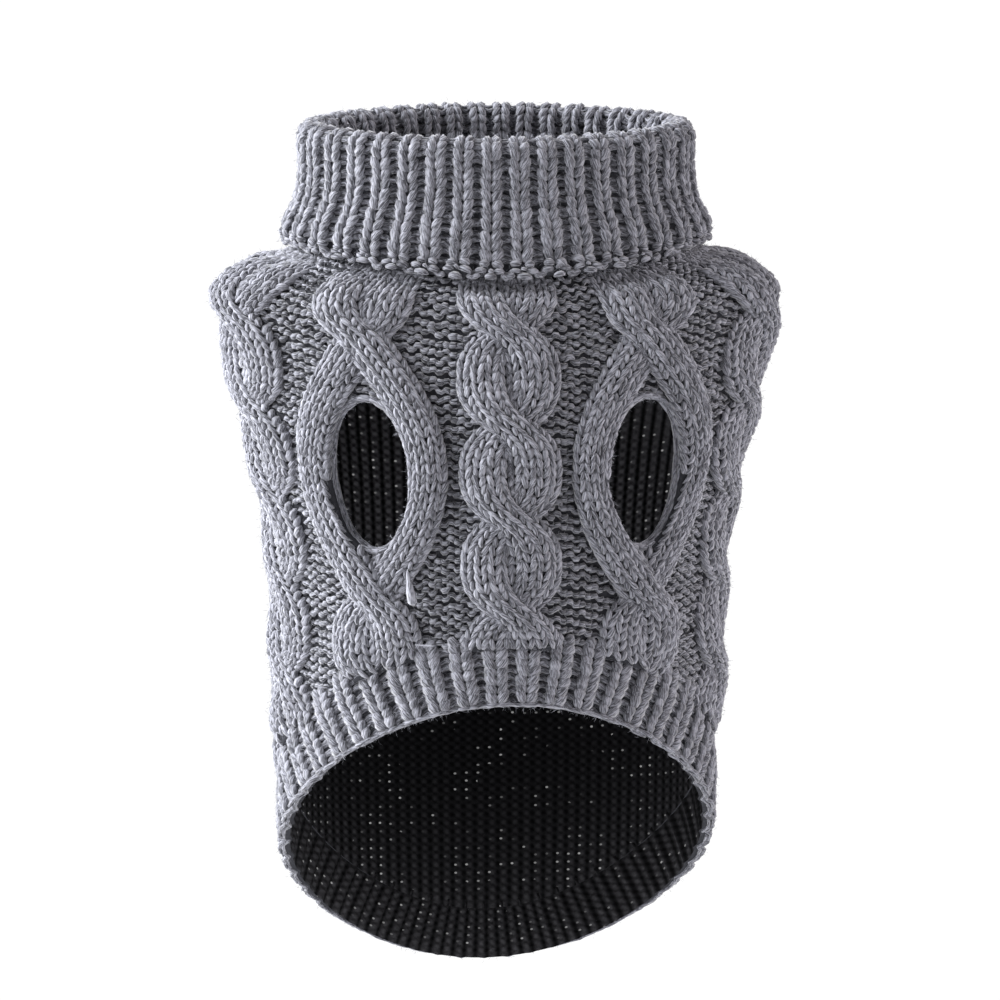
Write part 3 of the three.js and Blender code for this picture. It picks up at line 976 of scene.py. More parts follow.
def pinhole_group() -> bpy.types.NodeTree:
    """Pinholes between stitches, in clusters, read from the cloth's wale and row numbers.

    Returns:
        The group, with the pinholes' mask.
    """
    tree = bpy.data.node_groups.new("pinholes", "ShaderNodeTree")
    tree.interface.new_socket("Radius", in_out="INPUT", socket_type="NodeSocketFloat")
    tree.interface.new_socket("Share", in_out="INPUT", socket_type="NodeSocketFloat")
    tree.interface.new_socket("Mask", in_out="OUTPUT", socket_type="NodeSocketFloat")
    given, out = tree.nodes.new("NodeGroupInput"), tree.nodes.new("NodeGroupOutput")
    weave = new_node(tree, "ShaderNodeAttribute", attribute_name="weave")
    flat = new_node(tree, "ShaderNodeVectorMath", operation="MULTIPLY")
    flat.inputs[1].default_value = (1, 1, 0)
    cell = new_node(tree, "ShaderNodeVectorMath", operation="FLOOR")
    inside = new_node(tree, "ShaderNodeVectorMath", operation="FRACTION")
    chance = new_node(tree, "ShaderNodeTexWhiteNoise", noise_dimensions="3D")
    centre = new_node(tree, "ShaderNodeVectorMath", operation="MULTIPLY_ADD")
    centre.inputs[1].default_value = (0.16, 0.16, 0)
    centre.inputs[2].default_value = (0.42, 0.42, 0)
    apart = new_node(tree, "ShaderNodeVectorMath", operation="DISTANCE")
    near = new_node(tree, "ShaderNodeMath", operation="LESS_THAN")
    clouds = new_node(tree, "ShaderNodeTexNoise", Scale=0.16, Detail=1.0)
    clusters = new_node(tree, "ShaderNodeMapRange", From_Min=0.38, From_Max=0.58)
    shown = new_node(tree, "ShaderNodeMath", operation="LESS_THAN")
    both = new_node(tree, "ShaderNodeMath", operation="MULTIPLY")
    bright = new_node(tree, "ShaderNodeMath", operation="MULTIPLY")
    split = new_node(tree, "ShaderNodeSeparateColor")
    link = tree.links.new
    link(weave.outputs["Vector"], flat.inputs[0])
    link(flat.outputs[0], cell.inputs[0])
    link(flat.outputs[0], inside.inputs[0])
    link(flat.outputs[0], clouds.inputs["Vector"])
    link(cell.outputs[0], chance.inputs["Vector"])
    link(chance.outputs["Color"], centre.inputs[0])
    link(chance.outputs["Color"], split.inputs[0])
    link(inside.outputs[0], apart.inputs[0])
    link(centre.outputs[0], apart.inputs[1])
    link(apart.outputs["Value"], near.inputs[0])
    link(given.outputs["Radius"], near.inputs[1])
    link(clouds.outputs["Fac"], clusters.inputs["Value"])
    link(given.outputs["Share"], clusters.inputs["To Max"])
    link(chance.outputs["Value"], shown.inputs[0])
    link(clusters.outputs["Result"], shown.inputs[1])
    link(near.outputs[0], both.inputs[0])
    link(shown.outputs[0], both.inputs[1])
    link(both.outputs[0], bright.inputs[0])
    link(split.outputs["Red"], bright.inputs[1])
    link(bright.outputs[0], out.inputs["Mask"])
    return tree


@dataclass(frozen=True)
class YarnFinish:
    """Heather yarn: its dark and pale fibres, how much one stitch differs from the next, and its nap."""

    name: str
    dark: Colour
    pale: Colour
    tone: float = 0.3
    bump: float = 0.18
    sheen: float = 0.45

    def material(self, heather: bpy.types.NodeTree) -> bpy.types.Material:
        """Makes the material from the shared fibres."""
        material = bpy.data.materials.new(self.name)
        material.use_nodes = True
        tree = material.node_tree
        shader = tree.nodes["Principled BSDF"]
        shader.inputs["Roughness"].default_value = 0.85
        shader.inputs["Specular IOR Level"].default_value = 0.12
        shader.inputs["Sheen Weight"].default_value = self.sheen
        shader.inputs["Sheen Roughness"].default_value = 0.5
        fibres = new_node(tree, "ShaderNodeGroup", node_tree=heather)
        fibres.inputs["Dark"].default_value = (*self.dark, 1)
        fibres.inputs["Pale"].default_value = (*self.pale, 1)
        fibres.inputs["Tone"].default_value = self.tone
        bump = new_node(tree, "ShaderNodeBump", Strength=self.bump, Distance=0.35 * MM)
        tree.links.new(fibres.outputs["Color"], shader.inputs["Base Color"])
        tree.links.new(fibres.outputs["Height"], bump.inputs["Height"])
        tree.links.new(bump.outputs["Normal"], shader.inputs["Normal"])
        return material


@dataclass(frozen=True)
class PaintedShadeFinish:
    """The cloth seen deep between the stitches: near-black painted shade, mottled like matted wool."""

    name: str
    colour: Colour
    mottle: Colour

    def material(self) -> bpy.types.Material:
        """Makes the material."""
        material = bpy.data.materials.new(self.name)
        material.use_nodes = True
        tree = material.node_tree
        shader = tree.nodes["Principled BSDF"]
        shader.inputs["Roughness"].default_value = 0.95
        shader.inputs["Specular IOR Level"].default_value = 0.15
        place = tree.nodes.new("ShaderNodeTexCoord")
        matting = new_node(tree, "ShaderNodeTexNoise", Scale=900.0, Detail=4.0, Roughness=0.7)
        # colour and mottle are painted shade: dark stand-ins for the shade between the stitches
        colour = new_node(tree, "ShaderNodeMix", data_type="RGBA")
        colour.inputs["A"].default_value = (*self.colour, 1)
        colour.inputs["B"].default_value = (*self.mottle, 1)
        bump = new_node(tree, "ShaderNodeBump", Strength=0.7, Distance=0.4 * MM)
        tree.links.new(place.outputs["Object"], matting.inputs["Vector"])
        tree.links.new(matting.outputs["Fac"], colour.inputs["Factor"])
        tree.links.new(colour.outputs["Result"], shader.inputs["Base Color"])
        tree.links.new(matting.outputs["Fac"], bump.inputs["Height"])
        tree.links.new(bump.outputs["Normal"], shader.inputs["Normal"])
        return material


@dataclass(frozen=True)
class InsideFinish:
    """The cloth's inner face: near-black painted shade, ribs lightened by painted light where the weave asks for it,
    and pinholes that glow as painted light.
    """

    name: str
    colour: Colour
    rib: Colour
    light: Colour
    radius: float = 0.12
    share: float = 0.6
    pinhole_painted_glow: float = 0.5

    def material(self, pinholes: bpy.types.NodeTree) -> bpy.types.Material:
        """Makes the material from the shared pinholes."""
        material = bpy.data.materials.new(self.name)
        material.use_nodes = True
        tree = material.node_tree
        shader = tree.nodes["Principled BSDF"]
        shader.inputs["Roughness"].default_value = 0.95
        shader.inputs["Specular IOR Level"].default_value = 0.1
        # the pinholes glow: painted light, as if light from behind came through the stitches
        shader.inputs["Emission Strength"].default_value = self.pinhole_painted_glow
        weave = new_node(tree, "ShaderNodeAttribute", attribute_name="weave")
        split = new_node(tree, "ShaderNodeSeparateXYZ")
        wale = new_node(tree, "ShaderNodeMath", operation="MULTIPLY")
        wale.inputs[1].default_value = ROUND
        row = new_node(tree, "ShaderNodeMath", operation="MULTIPLY")
        row.inputs[1].default_value = ROUND
        across, down = (new_node(tree, "ShaderNodeMath", operation="SINE") for _ in range(2))
        loops = new_node(tree, "ShaderNodeMath", operation="MULTIPLY_ADD")
        loops.inputs[2].default_value = 0.5
        fuzz = new_node(tree, "ShaderNodeTexNoise", Scale=2.0, Detail=4.0, Roughness=0.7)
        height = new_node(tree, "ShaderNodeMath", operation="ADD")
        ridge = new_node(tree, "ShaderNodeMapRange", From_Min=-1.0, From_Max=1.0)
        # the ribs are lightened by the weave's third number: painted light where light would come in
        near, painted_light_factor = (new_node(tree, "ShaderNodeMath", operation="MULTIPLY") for _ in range(2))
        colour = new_node(tree, "ShaderNodeMix", data_type="RGBA")
        colour.inputs["A"].default_value = (*self.colour, 1)
        colour.inputs["B"].default_value = (*self.rib, 1)
        holes = new_node(tree, "ShaderNodeGroup", node_tree=pinholes)
        holes.inputs["Radius"].default_value = self.radius
        holes.inputs["Share"].default_value = self.share
        lit = new_node(tree, "ShaderNodeMix", data_type="RGBA")
        lit.inputs["A"].default_value = (0, 0, 0, 1)
        lit.inputs["B"].default_value = (*self.light, 1)
        bump = new_node(tree, "ShaderNodeBump", Strength=0.8, Distance=0.6 * MM)
        link = tree.links.new
        link(weave.outputs["Vector"], split.inputs[0])
        link(weave.outputs["Vector"], fuzz.inputs["Vector"])
        link(split.outputs["X"], wale.inputs[0])
        link(split.outputs["Y"], row.inputs[0])
        link(wale.outputs[0], across.inputs[0])
        link(row.outputs[0], down.inputs[0])
        link(across.outputs[0], loops.inputs[0])
        link(down.outputs[0], loops.inputs[1])
        link(loops.outputs[0], height.inputs[0])
        link(fuzz.outputs["Fac"], height.inputs[1])
        link(across.outputs[0], ridge.inputs["Value"])
        link(ridge.outputs["Result"], near.inputs[0])
        link(split.outputs["Z"], near.inputs[1])
        link(near.outputs[0], painted_light_factor.inputs[0])
        link(fuzz.outputs["Fac"], painted_light_factor.inputs[1])
        link(painted_light_factor.outputs[0], colour.inputs["Factor"])
        link(colour.outputs["Result"], shader.inputs["Base Color"])
        link(height.outputs[0], bump.inputs["Height"])
        link(bump.outputs["Normal"], shader.inputs["Normal"])
        link(holes.outputs["Mask"], lit.inputs["Factor"])
        link(lit.outputs["Result"], shader.inputs["Emission Color"])
        return material


@dataclass
class Finishes:
    """Every finish of the garment, made once."""

    def __post_init__(self) -> None:
        """Makes the shared groups and the materials."""
        heather = heather_group()
        self.cable = YarnFinish("cable wool yarn", (0.062, 0.062, 0.073), (0.385, 0.387, 0.437)).material(heather)
        # the purl ground's yarn is darker than the cables': painted shade in the recessed ground between them
        self.ground = YarnFinish("purl wool yarn darkened as painted shade", (0.017, 0.017, 0.021), (0.36, 0.363, 0.41)).material(heather)
        self.rib = YarnFinish("rib wool yarn", (0.048, 0.048, 0.057), (0.33, 0.332, 0.376)).material(heather)
        self.fuzz = YarnFinish("loose wool fibres", (0.12, 0.123, 0.14), (0.55, 0.56, 0.62), bump=0).material(heather)
        # painted shade: the near-black cloth under the stitches stands in for the shade between them
        self.shade = PaintedShadeFinish("painted shade between stitches", (0.013, 0.013, 0.016), (0.07, 0.071, 0.081)).material()
        # inside: near-black painted shade, ribs lightened by painted light, and glowing white pinholes as painted light
        dark, rib, light = (0.002, 0.002, 0.0024), (0.08, 0.078, 0.084), (1, 1, 1)
        self.inside = InsideFinish("inside wool in painted shade and light", dark, rib, light).material(pinhole_group())


# The garment's parts


def add_piece(piece: bpy.types.Object) -> bpy.types.Object:
    """Makes a piece ride with the garment, and reports it."""
    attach(piece, "root")
    LOG.info("%s: %d faces", piece.name, len(piece.data.polygons))
    return piece


@dataclass
class CablePanel:
    """One side of the body: cloth with five cables, and purl ground between them."""

    body: BodyForm
    finishes: Finishes
    panel: Panel
    cloth: ClothPiece
    columns: int = 112
    rows: int = 74
    shell_depth: float = 1.2
    inner_depth: float = 2.7
    wales: int = 100
    strand_wales: int = 4
    row_pitch: float = 3.0
    under_collar: float = 3.5
    tucked: float = 2.5
    # painted light inside: how much the inner face's ribs are lightened near the hem and at the chest
    painted_light_at_hem: float = 0.6
    painted_light_reach: float = 30
    painted_light_at_chest: float = 2.6
    chest: tuple[float, float] = (-150, -100)
    hidden: float = 1.0
    hairs: int = 36000
    sides: int = 5
    knit: KnitWale = KnitWale(
        YarnLie(half_width=1.02, half_height=0.9, crown=1.15, sink=0.45), pitch=3.0, reach=1.55, inner=0.03, outer=0.22
    )
    purl: PurlWale = PurlWale(
        YarnLie(
            half_width=1.02,
            half_height=0.95,
            crown=1.5,
            sink=0.3,
            shares=(0, 0.14, 0.38, 0.62, 0.86, 1),
            swell=(0, 0.62, 1, 1, 0.62, 0),
        ),
        pitch=3.0,
        half_width=0.41,
        bow=1.35,
    )

    def start(self, turn: Array) -> Array:
        """Where the stitches start, under the collar's edge."""
        return self.body.collar.edge(turn) + self.under_collar

    def build_cloth(self) -> bpy.types.Object:
        """Makes the thin cloth with its cables raised and its leg holes open."""
        body = self.body
        half = SIDE_SEAM - body.slit / 2 / body.layout.girth
        turn = self.panel.value + np.linspace(-half, half, self.columns + 1)[None, :]
        share = np.linspace(0, 1, self.rows + 1)[:, None]
        z = share * (body.hem.band_top(turn) - self.tucked)
        turn = np.broadcast_to(turn, z.shape)
        reach = body.hole_reach(turn, z)
        turn, z, keep = self.open_holes(turn, z, reach)
        relief = body.relief(turn, z)
        outer = body.surface.at(turn, z, np.maximum(relief - self.shell_depth, -self.shell_depth))
        inner = body.surface.at(turn, z, -self.inner_depth)
        down = np.cumsum(np.linalg.norm(np.diff(inner, axis=0, prepend=inner[:1]), axis=2), axis=0)
        # painted light: the inner face is lightened near the hem and at the chest, where light would reach it
        painted_light_near_hem = self.painted_light_at_hem * np.exp((body.hem.band_top(turn) - z) / self.painted_light_reach)
        painted_inner_light = np.maximum(painted_light_near_hem, self.painted_light_at_chest * smoothstep(z, *self.chest))
        weave = np.stack([turn * self.wales, down / self.row_pitch, painted_inner_light], axis=2)
        piece, counts = thin_cloth(self.cloth.node + "_cloth", outer, inner, keep, False, weave)
        # outside, painted shade between the stitches; inside, painted shade and painted light
        dress_cloth(piece, counts, self.finishes.shade, self.finishes.inside)
        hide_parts(self.cloth.node)
        return add_piece(piece)

    def open_holes(self, turn: Array, z: Array, reach: Array) -> tuple[Array, Array, Array]:
        """Opens the leg holes in the grid: its points inside them move out to their edges.

        Args:
            turn: the grid's turns.
            z: the grid's levels.
            reach: how far out each point lies from the nearer hole.

        Returns:
            The moved turns and levels, and which cells are cloth.
        """
        body = self.body
        inside = reach < 1
        side = np.sign(turn - np.round(turn)) * LEG_TURN
        apart = turn - np.round(turn) - side
        grow = np.where(inside, 1 / np.maximum(reach, 0.02), 1)
        moved_turn = np.where(inside, np.round(turn) + side + apart * grow, turn)
        moved_z = np.where(inside, body.leg_hole.z + (z - body.leg_hole.z) * grow, z)
        corners = inside[:-1, :-1] & inside[1:, :-1] & inside[:-1, 1:] & inside[1:, 1:]
        return moved_turn, moved_z, ~corners

    def knit_cables(self) -> list[YarnBatch]:
        """Knits the strands of each cable, in batches that stay small."""
        batches = []
        for side, name in ((1, "right"), (-1, "left")):
            seed = int(20 + side + 10 * self.panel.value)
            batch = YarnBatch(f"{self.cloth.node}_{name}_strands", seed, self.sides)
            for cable in self.body.layout.cables():
                if on_panel(self.panel, np.array(cable.turn)):
                    self.knit_strand(batch, Strand(self.body, cable, side))
            batches.append(batch)
        return batches

    def knit_strand(self, batch: YarnBatch, strand: Strand) -> None:
        """Knits one strand's wales, without the stitches that the other strand hides."""
        body = self.body

        def keep(across: Array, z: Array) -> Array:
            """Tells which stitches show."""
            middle = slice(1, -1)
            across, z = across[:, middle], z[:, middle]
            turn = strand.turn(across, z)
            over = body.relief(turn, z) - strand.height(across, z)
            in_hole = (body.hole_reach(turn, z) < 1).any(axis=1)
            in_band = (z < body.hem.band_top(turn) - self.tucked).any(axis=1)
            return (over < self.hidden).any(axis=1) & ~in_hole & ~in_band

        levels = np.linspace(body.hem.middle - body.hem.rise, 0, 500)
        for wale in range(self.strand_wales):
            across = (2 * wale + 1) / self.strand_wales - 1
            turn = strand.turn(np.array(across), levels)
            top = levels[levels < self.start(turn)].max()
            bottom = levels[levels > body.hem.band_top(turn)].min()
            self.knit.knit(batch, strand, across, (bottom - self.tucked, top), keep)

    def knit_ground(self) -> YarnBatch:
        """Knits the purl wales, where no cable covers them."""
        body = self.body
        batch = YarnBatch(f"{self.cloth.node}_ground", seed=int(40 + 10 * self.panel.value), sides=4)
        cloth = Ground(body, self.wales)

        def keep(across: Array, z: Array) -> Array:
            """Tells which stitches show."""
            across, z = across[:, 2:4].mean(axis=1), z[:, 2:4].mean(axis=1)
            turn = across / self.wales
            clear = body.relief(turn, z) < 1.3
            return clear & (body.hole_reach(turn, z) > 1.05) & (z > body.hem.band_top(turn) - 1.2)

        first = int((self.panel.value - SIDE_SEAM) * self.wales)
        for number in range(first, first + self.wales // 2):
            across = number + 0.5
            turn = np.array(across / self.wales)
            bottom = float(body.hem.band_top(turn)) - self.tucked
            self.purl.knit(batch, cloth, across, (bottom, float(self.start(turn))), keep)
        return batch

    def knit_hole_rims(self) -> YarnBatch:
        """Rolls the edge of each leg hole: yarns that lie along it, in two rows."""
        body = self.body
        batch = YarnBatch(f"{self.cloth.node}_leg_hole_edges", seed=60)
        cloth = Ground(body, self.wales)
        lie = YarnLie(half_width=1.15, half_height=1.05, crown=0.5, sink=0)
        count = 26
        for side in (-1, 1):
            for grown, lift, shift in ((0.7, -0.5, 0), (0.2, -2.0, 0.5)):
                starts = (np.arange(count) + shift) / count
                t = (np.array(lie.shares) * 1.7 / count)[None, :]
                across, up = body.leg_hole.outline(ROUND * (starts[:, None] + t), grown)
                turn = side * LEG_TURN + across / body.layout.girth
                tone = batch.random.uniform(0.3, 1, count)
                batch.add(cloth, turn * self.wales, body.leg_hole.z + up, lie, tone, lift)
        self.pull_stitch(batch, cloth)
        return batch

    def pull_stitch(self, batch: YarnBatch, cloth: Ground) -> None:
        """Pulls one stitch a little out of a cable, as a pale drop of yarn, and leaves a loose fibre under it."""
        drop = YarnLie(half_width=1.9, half_height=1.4, crown=0.6, sink=0, swell=(0, 1.0, 0.95, 0.6, 0.3, 0))
        fibre = YarnLie(half_width=0.3, half_height=0.25, crown=0, sink=0)
        t = np.array(drop.shares)[None, :]
        batch.add(cloth, (-0.071 - 0.0045 * t) * self.wales, -115 + 12 * t, drop, np.ones(1), 5.4)
        batch.add(cloth, (-0.071 + 0.0153 * t) * self.wales, -127.5 + 0 * t, fibre, np.full(1, 1.5), 4.2)

    def build(self) -> None:
        cloth = self.build_cloth()
        cables, ground = self.knit_cables(), self.knit_ground()
        yarns = [*cables, ground]
        if self.panel is Panel.BELLY:
            rims = self.knit_hole_rims()
            cables.append(rims)
            yarns.append(rims)
        pieces = [batch.build(self.finishes.cable) for batch in cables]
        pieces.append(ground.build(self.finishes.ground))
        pieces.append(Fuzz().build(f"{self.cloth.node}_fuzz", yarns, self.hairs, self.finishes.fuzz))
        for piece in pieces:
            add_piece(piece)


# the valleys' purl bars keep to the dark end of their tones (palest 0.1): painted shade in the rib valleys
VALLEY_PURL = PurlWale(
    YarnLie(
        half_width=0.85,
        half_height=0.75,
        crown=0.8,
        sink=0.85,
        shares=(0, 0.14, 0.38, 0.62, 0.86, 1),
        swell=(0, 0.75, 1, 1, 0.75, 0),
    ),
    pitch=2.3,
    half_width=0.24,
    bow=1.1,
    cups=False,
    palest=0.1,
)


@dataclass
class HemBand:
    """The rib band along one panel's hem."""

    body: BodyForm
    finishes: Finishes
    panel: Panel
    cloth: ClothPiece
    steps_per_rib: int = 5
    rows: int = 8
    shell_depth: float = 1.0
    # painted light inside: how much the band's inner ribs are lightened, growing toward the edge
    painted_light_at_hem: float = 0.6
    hairs: int = 6000
    knit: KnitWale = KnitWale(
        YarnLie(half_width=1.6, half_height=1.15, crown=0.95, sink=0.6), pitch=2.75, reach=1.6, inner=0.04, outer=0.3
    )
    purl: PurlWale = VALLEY_PURL

    def build_cloth(self) -> bpy.types.Object:
        """Makes the thin cloth under the ribs, with the ribs' backs raised inside."""
        outside, inside = HemRibs(self.body, self.panel), HemRibs(self.body, self.panel, outward=False)
        ribs = self.body.hem.ribs_per_panel
        across = np.linspace(0, ribs, ribs * self.steps_per_rib + 1)[None, :]
        along = np.linspace(0, 1, self.rows + 1)[:, None]
        across, along = np.broadcast_arrays(across, along)
        outer, inner = outside.lay(across, along, -self.shell_depth), inside.lay(across, along, 0.0)
        # painted light: the inner face grows paler toward the open edge, where light would come in
        painted_inner_light = self.painted_light_at_hem + (1 - self.painted_light_at_hem) * along
        weave = np.stack([across * 2, along * self.body.hem.band / self.knit.pitch, painted_inner_light], axis=2)
        keep = np.ones((self.rows, across.shape[1] - 1), bool)
        piece, counts = thin_cloth(self.cloth.node + "_cloth", outer, inner, keep, False, weave)
        # outside, painted shade between the stitches; inside, painted shade and painted light
        dress_cloth(piece, counts, self.finishes.shade, self.finishes.inside)
        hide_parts(self.cloth.node)
        return add_piece(piece)

    def knit_ribs(self, batch: YarnBatch, cloth: HemRibs) -> None:
        """Knits the knit wale of each rib and the purl wale in each valley."""
        for rib in range(self.body.hem.ribs_per_panel):
            self.knit.knit(batch, cloth, rib + 0.5, (0.97, -0.1))
            self.purl.knit(batch, cloth, float(rib), (0.97, 0.0))

    def cast_off(self, batch: YarnBatch, cloth: HemRibs) -> None:
        """Casts off the edge: thin yarns that lie along it, in a soft uneven line."""
        lie = YarnLie(half_width=0.62, half_height=0.7, crown=0.5, sink=0.45)
        t = np.array(lie.shares)[None, :]
        ribs = self.body.hem.ribs_per_panel
        for drop, lift, shift in ((0.985, 0.0, 0.0), (1.0, -1.3, 0.25)):
            starts = (np.arange(ribs * 2) / 2 + shift)[:, None]
            across = np.clip(starts + t * 0.8 - 0.1, 0, ribs)
            along = drop + batch.random.normal(0, 0.008, starts.shape) + 0 * across
            batch.add(cloth, across, along, lie, batch.random.uniform(0.15, 0.9, len(starts)), lift)

    def build(self) -> None:
        cloth = self.build_cloth()
        batch = YarnBatch(f"{self.cloth.node}_ribs", seed=int(80 + 10 * self.panel.value))
        ribs = HemRibs(self.body, self.panel)
        self.knit_ribs(batch, ribs)
        self.cast_off(batch, ribs)
        fuzz = Fuzz().build(f"{self.cloth.node}_fuzz", [batch], self.hairs, self.finishes.fuzz)
        pieces = [add_piece(piece) for piece in (batch.build(self.finishes.rib), fuzz)]


@dataclass(frozen=True)
class EdgeRow:
    """One row of the collar's cast-off edge: a yarn at the same place of each rib."""

    lie: YarnLie
    place: float
    along: float
    width: float
    tone: float = 0.2


@dataclass
class Collar:
    """The collar: ribbing that stands at the neck and is folded down outside."""

    body: BodyForm
    finishes: Finishes
    cloth: ClothPiece
    steps_per_rib: int = 5
    rows: tuple[float, ...] = tuple(np.concatenate([np.linspace(0, 1, 7)[:-1], np.linspace(1, 2, 6)[:-1],
                                                    np.linspace(2, 2.96, 13)]))
    shell_depth: float = 1.0
    back_depth: float = 2.2
    cast_off_rows: float = 2.87
    hairs: int = 18000
    knit: KnitWale = KnitWale(
        YarnLie(half_width=1.6, half_height=1.25, crown=0.95, sink=0.7), pitch=3.1, reach=1.6, inner=0.04, outer=0.29
    )
    purl: PurlWale = VALLEY_PURL

    def __post_init__(self) -> None:
        """Lays out the tube."""
        self.ribs = CollarRibs(self.body.collar, self.body.rib)

    def build_cloth(self) -> bpy.types.Object:
        """Makes the thin cloth of the whole tube, from the bore over the fold to the edge."""
        count = self.body.collar.ribs
        across = (np.arange(count * self.steps_per_rib) / self.steps_per_rib)[None, :]
        along = np.array(self.rows)[::-1, None]
        across, along = np.broadcast_arrays(across, along)
        outer = self.ribs.lay(across, along, -self.shell_depth)
        inner = self.ribs.surface.at(across / count, along, -self.back_depth)
        weave = np.stack([across * 2, along * 12, 0 * along], axis=2)
        keep = np.ones((len(self.rows) - 1, across.shape[1]), bool)
        piece, counts = thin_cloth(self.cloth.node + "_cloth", outer, inner, keep, True, weave)
        # both faces of the collar's cloth wear the painted shade of the gaps between stitches
        dress_cloth(piece, counts, self.finishes.shade, self.finishes.shade)
        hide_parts(self.cloth.node)
        return add_piece(piece)

    def knit_ribs(self) -> list[YarnBatch]:
        """Knits the ribbing outside and over the fold, and then in the bore."""
        batches = []
        for name, span, seed in (("outer", (self.cast_off_rows, 1.0), 100), ("bore", (1.05, 0.0), 110)):
            batch = YarnBatch(f"{self.cloth.node}_{name}_ribs", seed=seed)
            for rib in range(self.body.collar.ribs):
                self.knit.knit(batch, self.ribs, rib + 0.5, span)
                self.purl.knit(batch, self.ribs, float(rib), span)
            batches.append(batch)
        return batches

    def cast_off(self) -> YarnBatch:
        """Casts off the edge: two beads at each rib's end with a small loop between, and bumps under them."""
        batch = YarnBatch(f"{self.cloth.node}_edge", seed=120)
        random = batch.random
        bead = YarnLie(half_width=1.3, half_height=1.25, crown=1.1, sink=0.55)
        loop = YarnLie(half_width=0.6, half_height=0.6, crown=0.4, sink=0.1)
        bump = YarnLie(half_width=0.95, half_height=1.05, crown=0.9, sink=0.7)
        rows = (
            EdgeRow(bead, place=0.3, along=2.88, width=0.32),
            EdgeRow(bead, place=0.7, along=2.88, width=0.32),
            EdgeRow(loop, place=0.5, along=2.93, width=0.16, tone=1.0),
            EdgeRow(bump, place=0.22, along=2.93, width=0.4, tone=0.0),
            EdgeRow(bump, place=0.78, along=2.94, width=0.4, tone=0.0),
            EdgeRow(bump, place=0.0, along=2.965, width=0.42, tone=0.0),
            EdgeRow(bump, place=0.5, along=2.975, width=0.45, tone=0.0),
        )
        ribs = np.arange(self.body.collar.ribs)[:, None]
        for row in rows:
            t = np.array(row.lie.shares)[None, :] - 0.5
            middle = ribs + row.place + random.normal(0, 0.02, ribs.shape)
            across = middle + t * row.width * random.normal(1, 0.1, ribs.shape)
            along = row.along + random.normal(0, 0.006, ribs.shape) + t * random.normal(0.01, 0.02, ribs.shape)
            batch.add(self.ribs, across, along, row.lie, random.uniform(row.tone, 1, len(ribs)))
        return batch

    def build(self) -> None:
        cloth = self.build_cloth()
        batches = [*self.knit_ribs(), self.cast_off()]
        fuzz = Fuzz().build(f"{self.cloth.node}_fuzz", batches, self.hairs, self.finishes.fuzz)
        yarns = [batch.build(self.finishes.rib) for batch in batches]
        pieces = [add_piece(piece) for piece in (*yarns, fuzz)]


# Studio


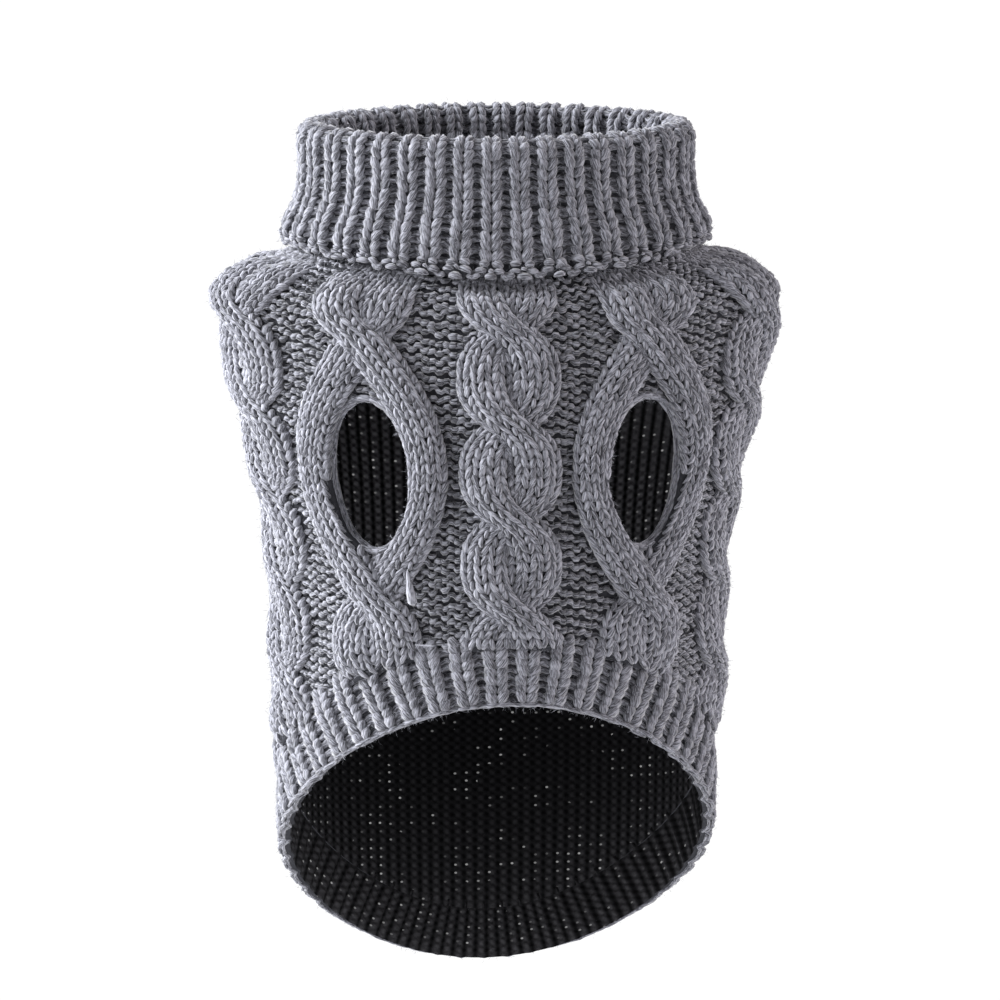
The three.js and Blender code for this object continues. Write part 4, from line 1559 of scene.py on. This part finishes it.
@dataclass(frozen=True)
class Studio:
    """A plain pale floor, soft light from the left, and the camera before the belly."""

    azimuth: float = -4.5
    elevation: float = 10.0
    distance: float = 1400
    aim: tuple[float, float, float] = (1.2, 0, -91.5)
    lens: float = 151.2
    floor_z: float = -330

    def build_floor(self) -> None:
        """Makes the floor, far wider than the view."""
        size = 12000.0
        corners = np.array([(-1, -1), (1, -1), (1, 1), (-1, 1)], float) * size
        points = np.concatenate([corners, np.full((4, 1), self.floor_z)], axis=1)
        mesh = mesh_from_arrays("floor", points, np.array([[0, 1, 2, 3]]), np.zeros((0, 3), int))
        material = bpy.data.materials.new("pale floor")
        material.use_nodes = True
        tree = material.node_tree
        shader, out = tree.nodes["Principled BSDF"], tree.nodes["Material Output"]
        shader.inputs["Base Color"].default_value = (0.75, 0.75, 0.75, 1)
        shader.inputs["Roughness"].default_value = 0.9
        seen = new_node(tree, "ShaderNodeEmission", Color=(1, 1, 1, 1), Strength=1.05)
        path, mix = tree.nodes.new("ShaderNodeLightPath"), tree.nodes.new("ShaderNodeMixShader")
        tree.links.new(path.outputs["Is Camera Ray"], mix.inputs["Fac"])
        tree.links.new(shader.outputs[0], mix.inputs[1])
        tree.links.new(seen.outputs[0], mix.inputs[2])
        tree.links.new(mix.outputs[0], out.inputs["Surface"])
        mesh.materials.append(material)
        floor = bpy.data.objects.new("floor", mesh)
        bpy.context.collection.objects.link(floor)

    def build_world(self) -> None:
        """Makes the pale surroundings: white to the camera, a little dimmer as light."""
        world = bpy.data.worlds.new("studio")
        bpy.context.scene.world = world
        world.use_nodes = True
        tree = world.node_tree
        tree.nodes.clear()
        seen = new_node(tree, "ShaderNodeBackground", Color=(1, 1, 1, 1), Strength=1.05)
        light = new_node(tree, "ShaderNodeBackground", Color=(1, 0.975, 0.985, 1), Strength=0.2)
        path, mix = tree.nodes.new("ShaderNodeLightPath"), tree.nodes.new("ShaderNodeMixShader")
        out = tree.nodes.new("ShaderNodeOutputWorld")
        tree.links.new(path.outputs["Is Camera Ray"], mix.inputs["Fac"])
        tree.links.new(light.outputs[0], mix.inputs[1])
        tree.links.new(seen.outputs[0], mix.inputs[2])
        tree.links.new(mix.outputs[0], out.inputs["Surface"])

    def add_light(
        self, name: str, place: tuple[float, float, float], size: float, power: float, colour: Colour
    ) -> None:
        """Adds a soft square light that faces the garment's middle."""
        lamp = bpy.data.lights.new(name, "AREA")
        lamp.size, lamp.energy, lamp.color = size, power, colour
        light = bpy.data.objects.new(name, lamp)
        light.location = place
        light.rotation_mode = "QUATERNION"
        light.rotation_quaternion = (Vector((0, 0, -0.11)) - Vector(place)).to_track_quat("-Z", "Y")
        bpy.context.collection.objects.link(light)

    def build_camera(self) -> None:
        """Makes the camera at the photograph's angle."""
        data = bpy.data.cameras.new("camera")
        data.lens, data.sensor_width = self.lens, 36
        data.clip_start, data.clip_end = 0.05, 50
        camera = bpy.data.objects.new("camera", data)
        a, e = np.radians(self.azimuth), np.radians(self.elevation)
        back = Vector((np.sin(a) * np.cos(e), -np.cos(a) * np.cos(e), np.sin(e)))
        camera.location = Vector(self.aim) * MM + back * self.distance * MM
        camera.rotation_mode = "QUATERNION"
        camera.rotation_quaternion = (-back).to_track_quat("-Z", "Y")
        bpy.context.collection.objects.link(camera)
        bpy.context.scene.camera = camera

    def build(self) -> None:
        """Builds the studio."""
        self.build_floor()
        self.build_world()
        self.add_light("key", (-1.4, 0.08, 0.72), 1.4, 99, (0.95, 0.97, 1))
        self.add_light("fill", (1.3, -0.28, 0.5), 1.1, 18, (1, 0.96, 0.98))
        self.build_camera()
        bpy.context.scene.view_settings.view_transform = "Standard"


def main() -> None:
    """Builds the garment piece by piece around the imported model."""
    logging.basicConfig(level=logging.INFO, format="%(name)s: %(message)s")
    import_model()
    body, finishes = BodyForm(), Finishes()
    Studio().build()
    cable, rib = "cable_wool", "rib_wool"
    belly = ClothPiece("belly_panel", cable, (0.22, 0.19), 0.034)
    back = ClothPiece("back_panel", cable, (0.22, 0.26), 0.05)
    CablePanel(body, finishes, Panel.BELLY, belly).build()
    CablePanel(body, finishes, Panel.BACK, back, hairs=15000, sides=4).build()
    HemBand(body, finishes, Panel.BELLY, ClothPiece("belly_hem_rib", rib, (0.252, 0.0205))).build()
    HemBand(body, finishes, Panel.BACK, ClothPiece("back_hem_rib", rib, (0.252, 0.0205))).build()
    Collar(body, finishes, ClothPiece("collar", rib, (0.33, 0.08))).build()


if __name__ == "__main__":
    main()
